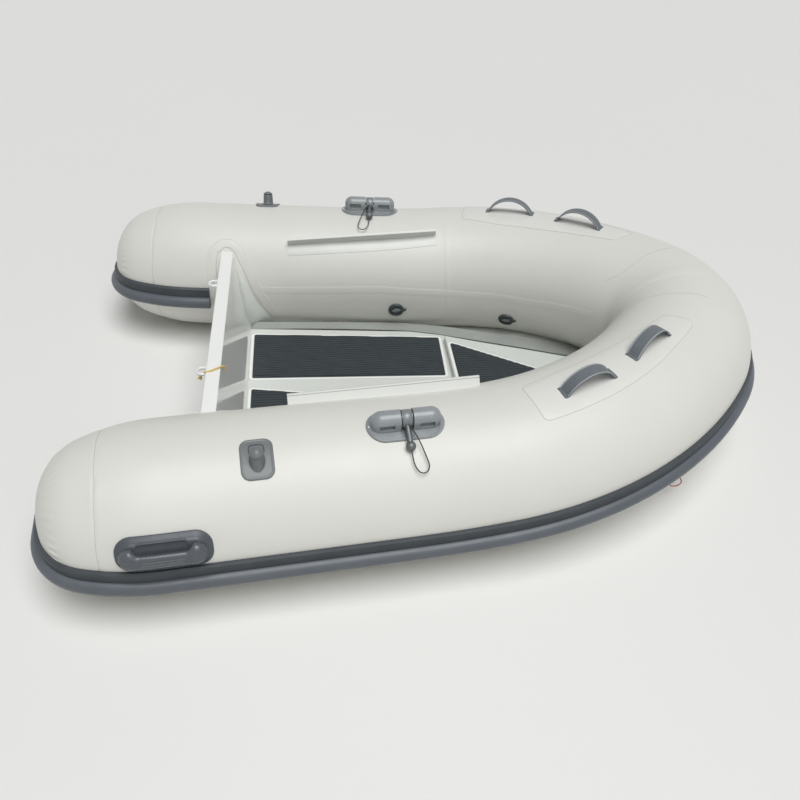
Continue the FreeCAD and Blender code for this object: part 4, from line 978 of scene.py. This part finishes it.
# Corner knees: thin bowed plates from the transom's fore face to the tube
def resampled(points, n):
    """Evenly spaced places along a smoothed polyline."""
    for _ in range(3):
        cut = [points[0]]
        for p, q in zip(points, points[1:]):
            cut += [p.lerp(q, 0.25), p.lerp(q, 0.75)]
        points = cut + [points[-1]]
    total = [0.0]
    for p, q in zip(points, points[1:]):
        total.append(total[-1] + (q - p).length)
    out, i = [], 0
    for k in range(n):
        want = total[-1] * k / (n - 1)
        while i < len(points) - 2 and total[i + 1] < want:
            i += 1
        out.append(points[i].lerp(points[i + 1], (want - total[i]) / max(1e-9, total[i + 1] - total[i])))
    return out


KNEE_ROWS, KNEE_HALF, KNEE_BOW = 28, 0.0018, 0.01
KNEE_IN = ((0.409, 0.418, 0.341), (0.413, 0.391, 0.321), (0.428, 0.321, 0.244), (0.437, 0.284, 0.197),
           (0.447, 0.294, 0.145), (0.457, 0.334, 0.097))
KNEE_OUT = ((0.42, 134.0), (0.427, 136.5), (0.444, 148.9), (0.47, 163.1), (0.5, 185.4), (0.545, 206.0),
            (0.552, 212.0))
knee_in = resampled([Vector(p) for p in KNEE_IN], KNEE_ROWS)
knee_out = resampled([skin(s, a) for s, a in KNEE_OUT], KNEE_ROWS)
inward = Vector((0.6, -0.6, 0.5)).normalized()
rows = []
for p, q in zip(knee_in, knee_out):
    row = [p.lerp(q, u) - inward * KNEE_BOW * math.sin(math.pi * u)
           for u in (0, 0.12, 0.25, 0.4, 0.55, 0.7, 0.85, 1)]
    rows.append([v + inward * KNEE_HALF for v in row] + [v - inward * KNEE_HALF for v in reversed(row)])
both("knee_plate", capped(rows), "hull_paint", ("corner_knee",), smooth=50)
shape = merged([weld([p * 1000 for p in knee_in[:12]], 0.0017), weld([p * 1000 for p in knee_out[::3]], 0.0014)])
both("knee_weld", shape, "hull_paint")

# Seat rails: a thin base that follows the tube, and a lip that stands off it
RAIL_AFT, RAIL_FORE, RAIL_ROWS = (0.606, 127.95), (1.11, 115.9), 25
LIP = [(0.0, -0.004), (0.0, 0.0258), (-0.0012, 0.027), (-0.0098, 0.027), (-0.011, 0.0258), (-0.011, -0.004)]
# The base's section as (distance round the tube, height)
RAIL_BASE = [(0.004, 0.0), (0.01, 0.0012), (0.03, 0.0013), (0.046, 0.0012), (0.0475, 0.0008), (0.048, -0.0004)]
aft, fore = (on_tube(*at).translation for at in (RAIL_AFT, RAIL_FORE))
turned = on_tube(0.5957, 122.1).to_3x3().to_4x4()
frames, verts = [], []
for part in [k / (RAIL_ROWS - 1) for k in range(RAIL_ROWS)]:
    frames.append(Matrix.Translation(aft.lerp(fore, part)) @ turned)
    s, a = (at + (to - at) * part for at, to in zip(RAIL_AFT, RAIL_FORE))
    verts += [skin(s, a + math.degrees(across / RADIUS), h) for across, h in RAIL_BASE]
shape = merged([sweep(frames, LIP), (verts, grid_faces(RAIL_ROWS, len(RAIL_BASE)))])
both("seat_rail_trim", shape, "seat_rail", ("seat_rail",), smooth=40)
# A thin grey line along the lip, in the grey of the deck's edges
both("seat_rail_line", sweep(frames, ellipse(0.0003, 0.0008, 8, z=0.0218)), "deck_edge_shade", slot="seat_rail")

# Lifting eyes: rounded rims round their holes
EYE, EYE_RADIUS = shift(0.36, 0.2246, 0.331), 0.0142
frames = [EYE @ turn("Z", 10 * k) @ shift(EYE_RADIUS, 0, 0) @ turn("Z", 90) for k in range(37)]
both("eye_rim", sweep(frames, ellipse(0.004, 0.0044, 12)), "eye_paint")
EYE_WELD = [(371.5, 254, 334.5), (372.5, 252, 334), (371.8, 224.6, 334), (372.5, 197, 334), (371.5, 195, 334.5)]
both("eye_weld", weld(EYE_WELD, 0.0014), "eye_paint")

# Floor at the waterline
FLOOR_HALF = 30
floor_mesh = bpy.data.meshes.new("floor")
floor_mesh.from_pydata([(x, y, 0) for x, y in box(FLOOR_HALF, FLOOR_HALF)], [], [(0, 1, 2, 3)])
floor = new_object("floor", floor_mesh)
paint("floor", "floor", (238, 238, 236), 0.85, spread=0.004, mottle=0.6)
floor_mesh.materials.append(MATERIALS["floor"])

# Light: a soft dim studio, which the camera and reflections see as white, a wide soft sun, and a lamp in front
WORLD_STRENGTH, SUN_POWER, SUN_WIDTH = 0.165, 2.16, 42
FRONT_POWER, FRONT_SIZE = 7.6, 1.6

world = bpy.data.worlds.new("studio")
bpy.context.scene.world = world
world.use_nodes = True
nodes, links = world.node_tree.nodes, world.node_tree.links
plain, white = nodes["Background"], new_node(nodes, "Background", Strength=1.0)
plain.inputs["Color"].default_value = (1.0, 0.995, 0.985, 1.0)
plain.inputs["Strength"].default_value = WORLD_STRENGTH
path, choice = new_node(nodes, "LightPath"), new_node(nodes, "MixShader")
seen = path.outputs["Is Camera Ray"]
for ray in ("Is Glossy Ray", "Is Transmission Ray"):
    either = new_node(nodes, "Math")
    either.operation = "MAXIMUM"
    links.new(seen, either.inputs[0])
    links.new(path.outputs[ray], either.inputs[1])
    seen = either.outputs[0]
links.new(seen, choice.inputs["Fac"])
links.new(plain.outputs[0], choice.inputs[1])
links.new(white.outputs[0], choice.inputs[2])
links.new(choice.outputs[0], nodes["World Output"].inputs["Surface"])


def add_light(name, kind, energy, place, aim):
    """Lamp at a place, turned to its aim."""
    light = new_object(name, bpy.data.lights.new(name, kind))
    light.data.energy = energy
    light.location = place
    light.rotation_mode = "QUATERNION"
    light.rotation_quaternion = (Vector(aim) - Vector(place)).to_track_quat("-Z", "Y")
    return light


sun = add_light("sun", "SUN", SUN_POWER, (0, 0, 3), (-0.12, 0.3, 2.0))
sun.data.angle = math.radians(SUN_WIDTH)
front = add_light("front", "AREA", FRONT_POWER, (1.0, -2.4, 1.9), (0.9, -0.5, 0.3))
front.data.size = FRONT_SIZE

bpy.context.scene.view_settings.view_transform = "Standard"
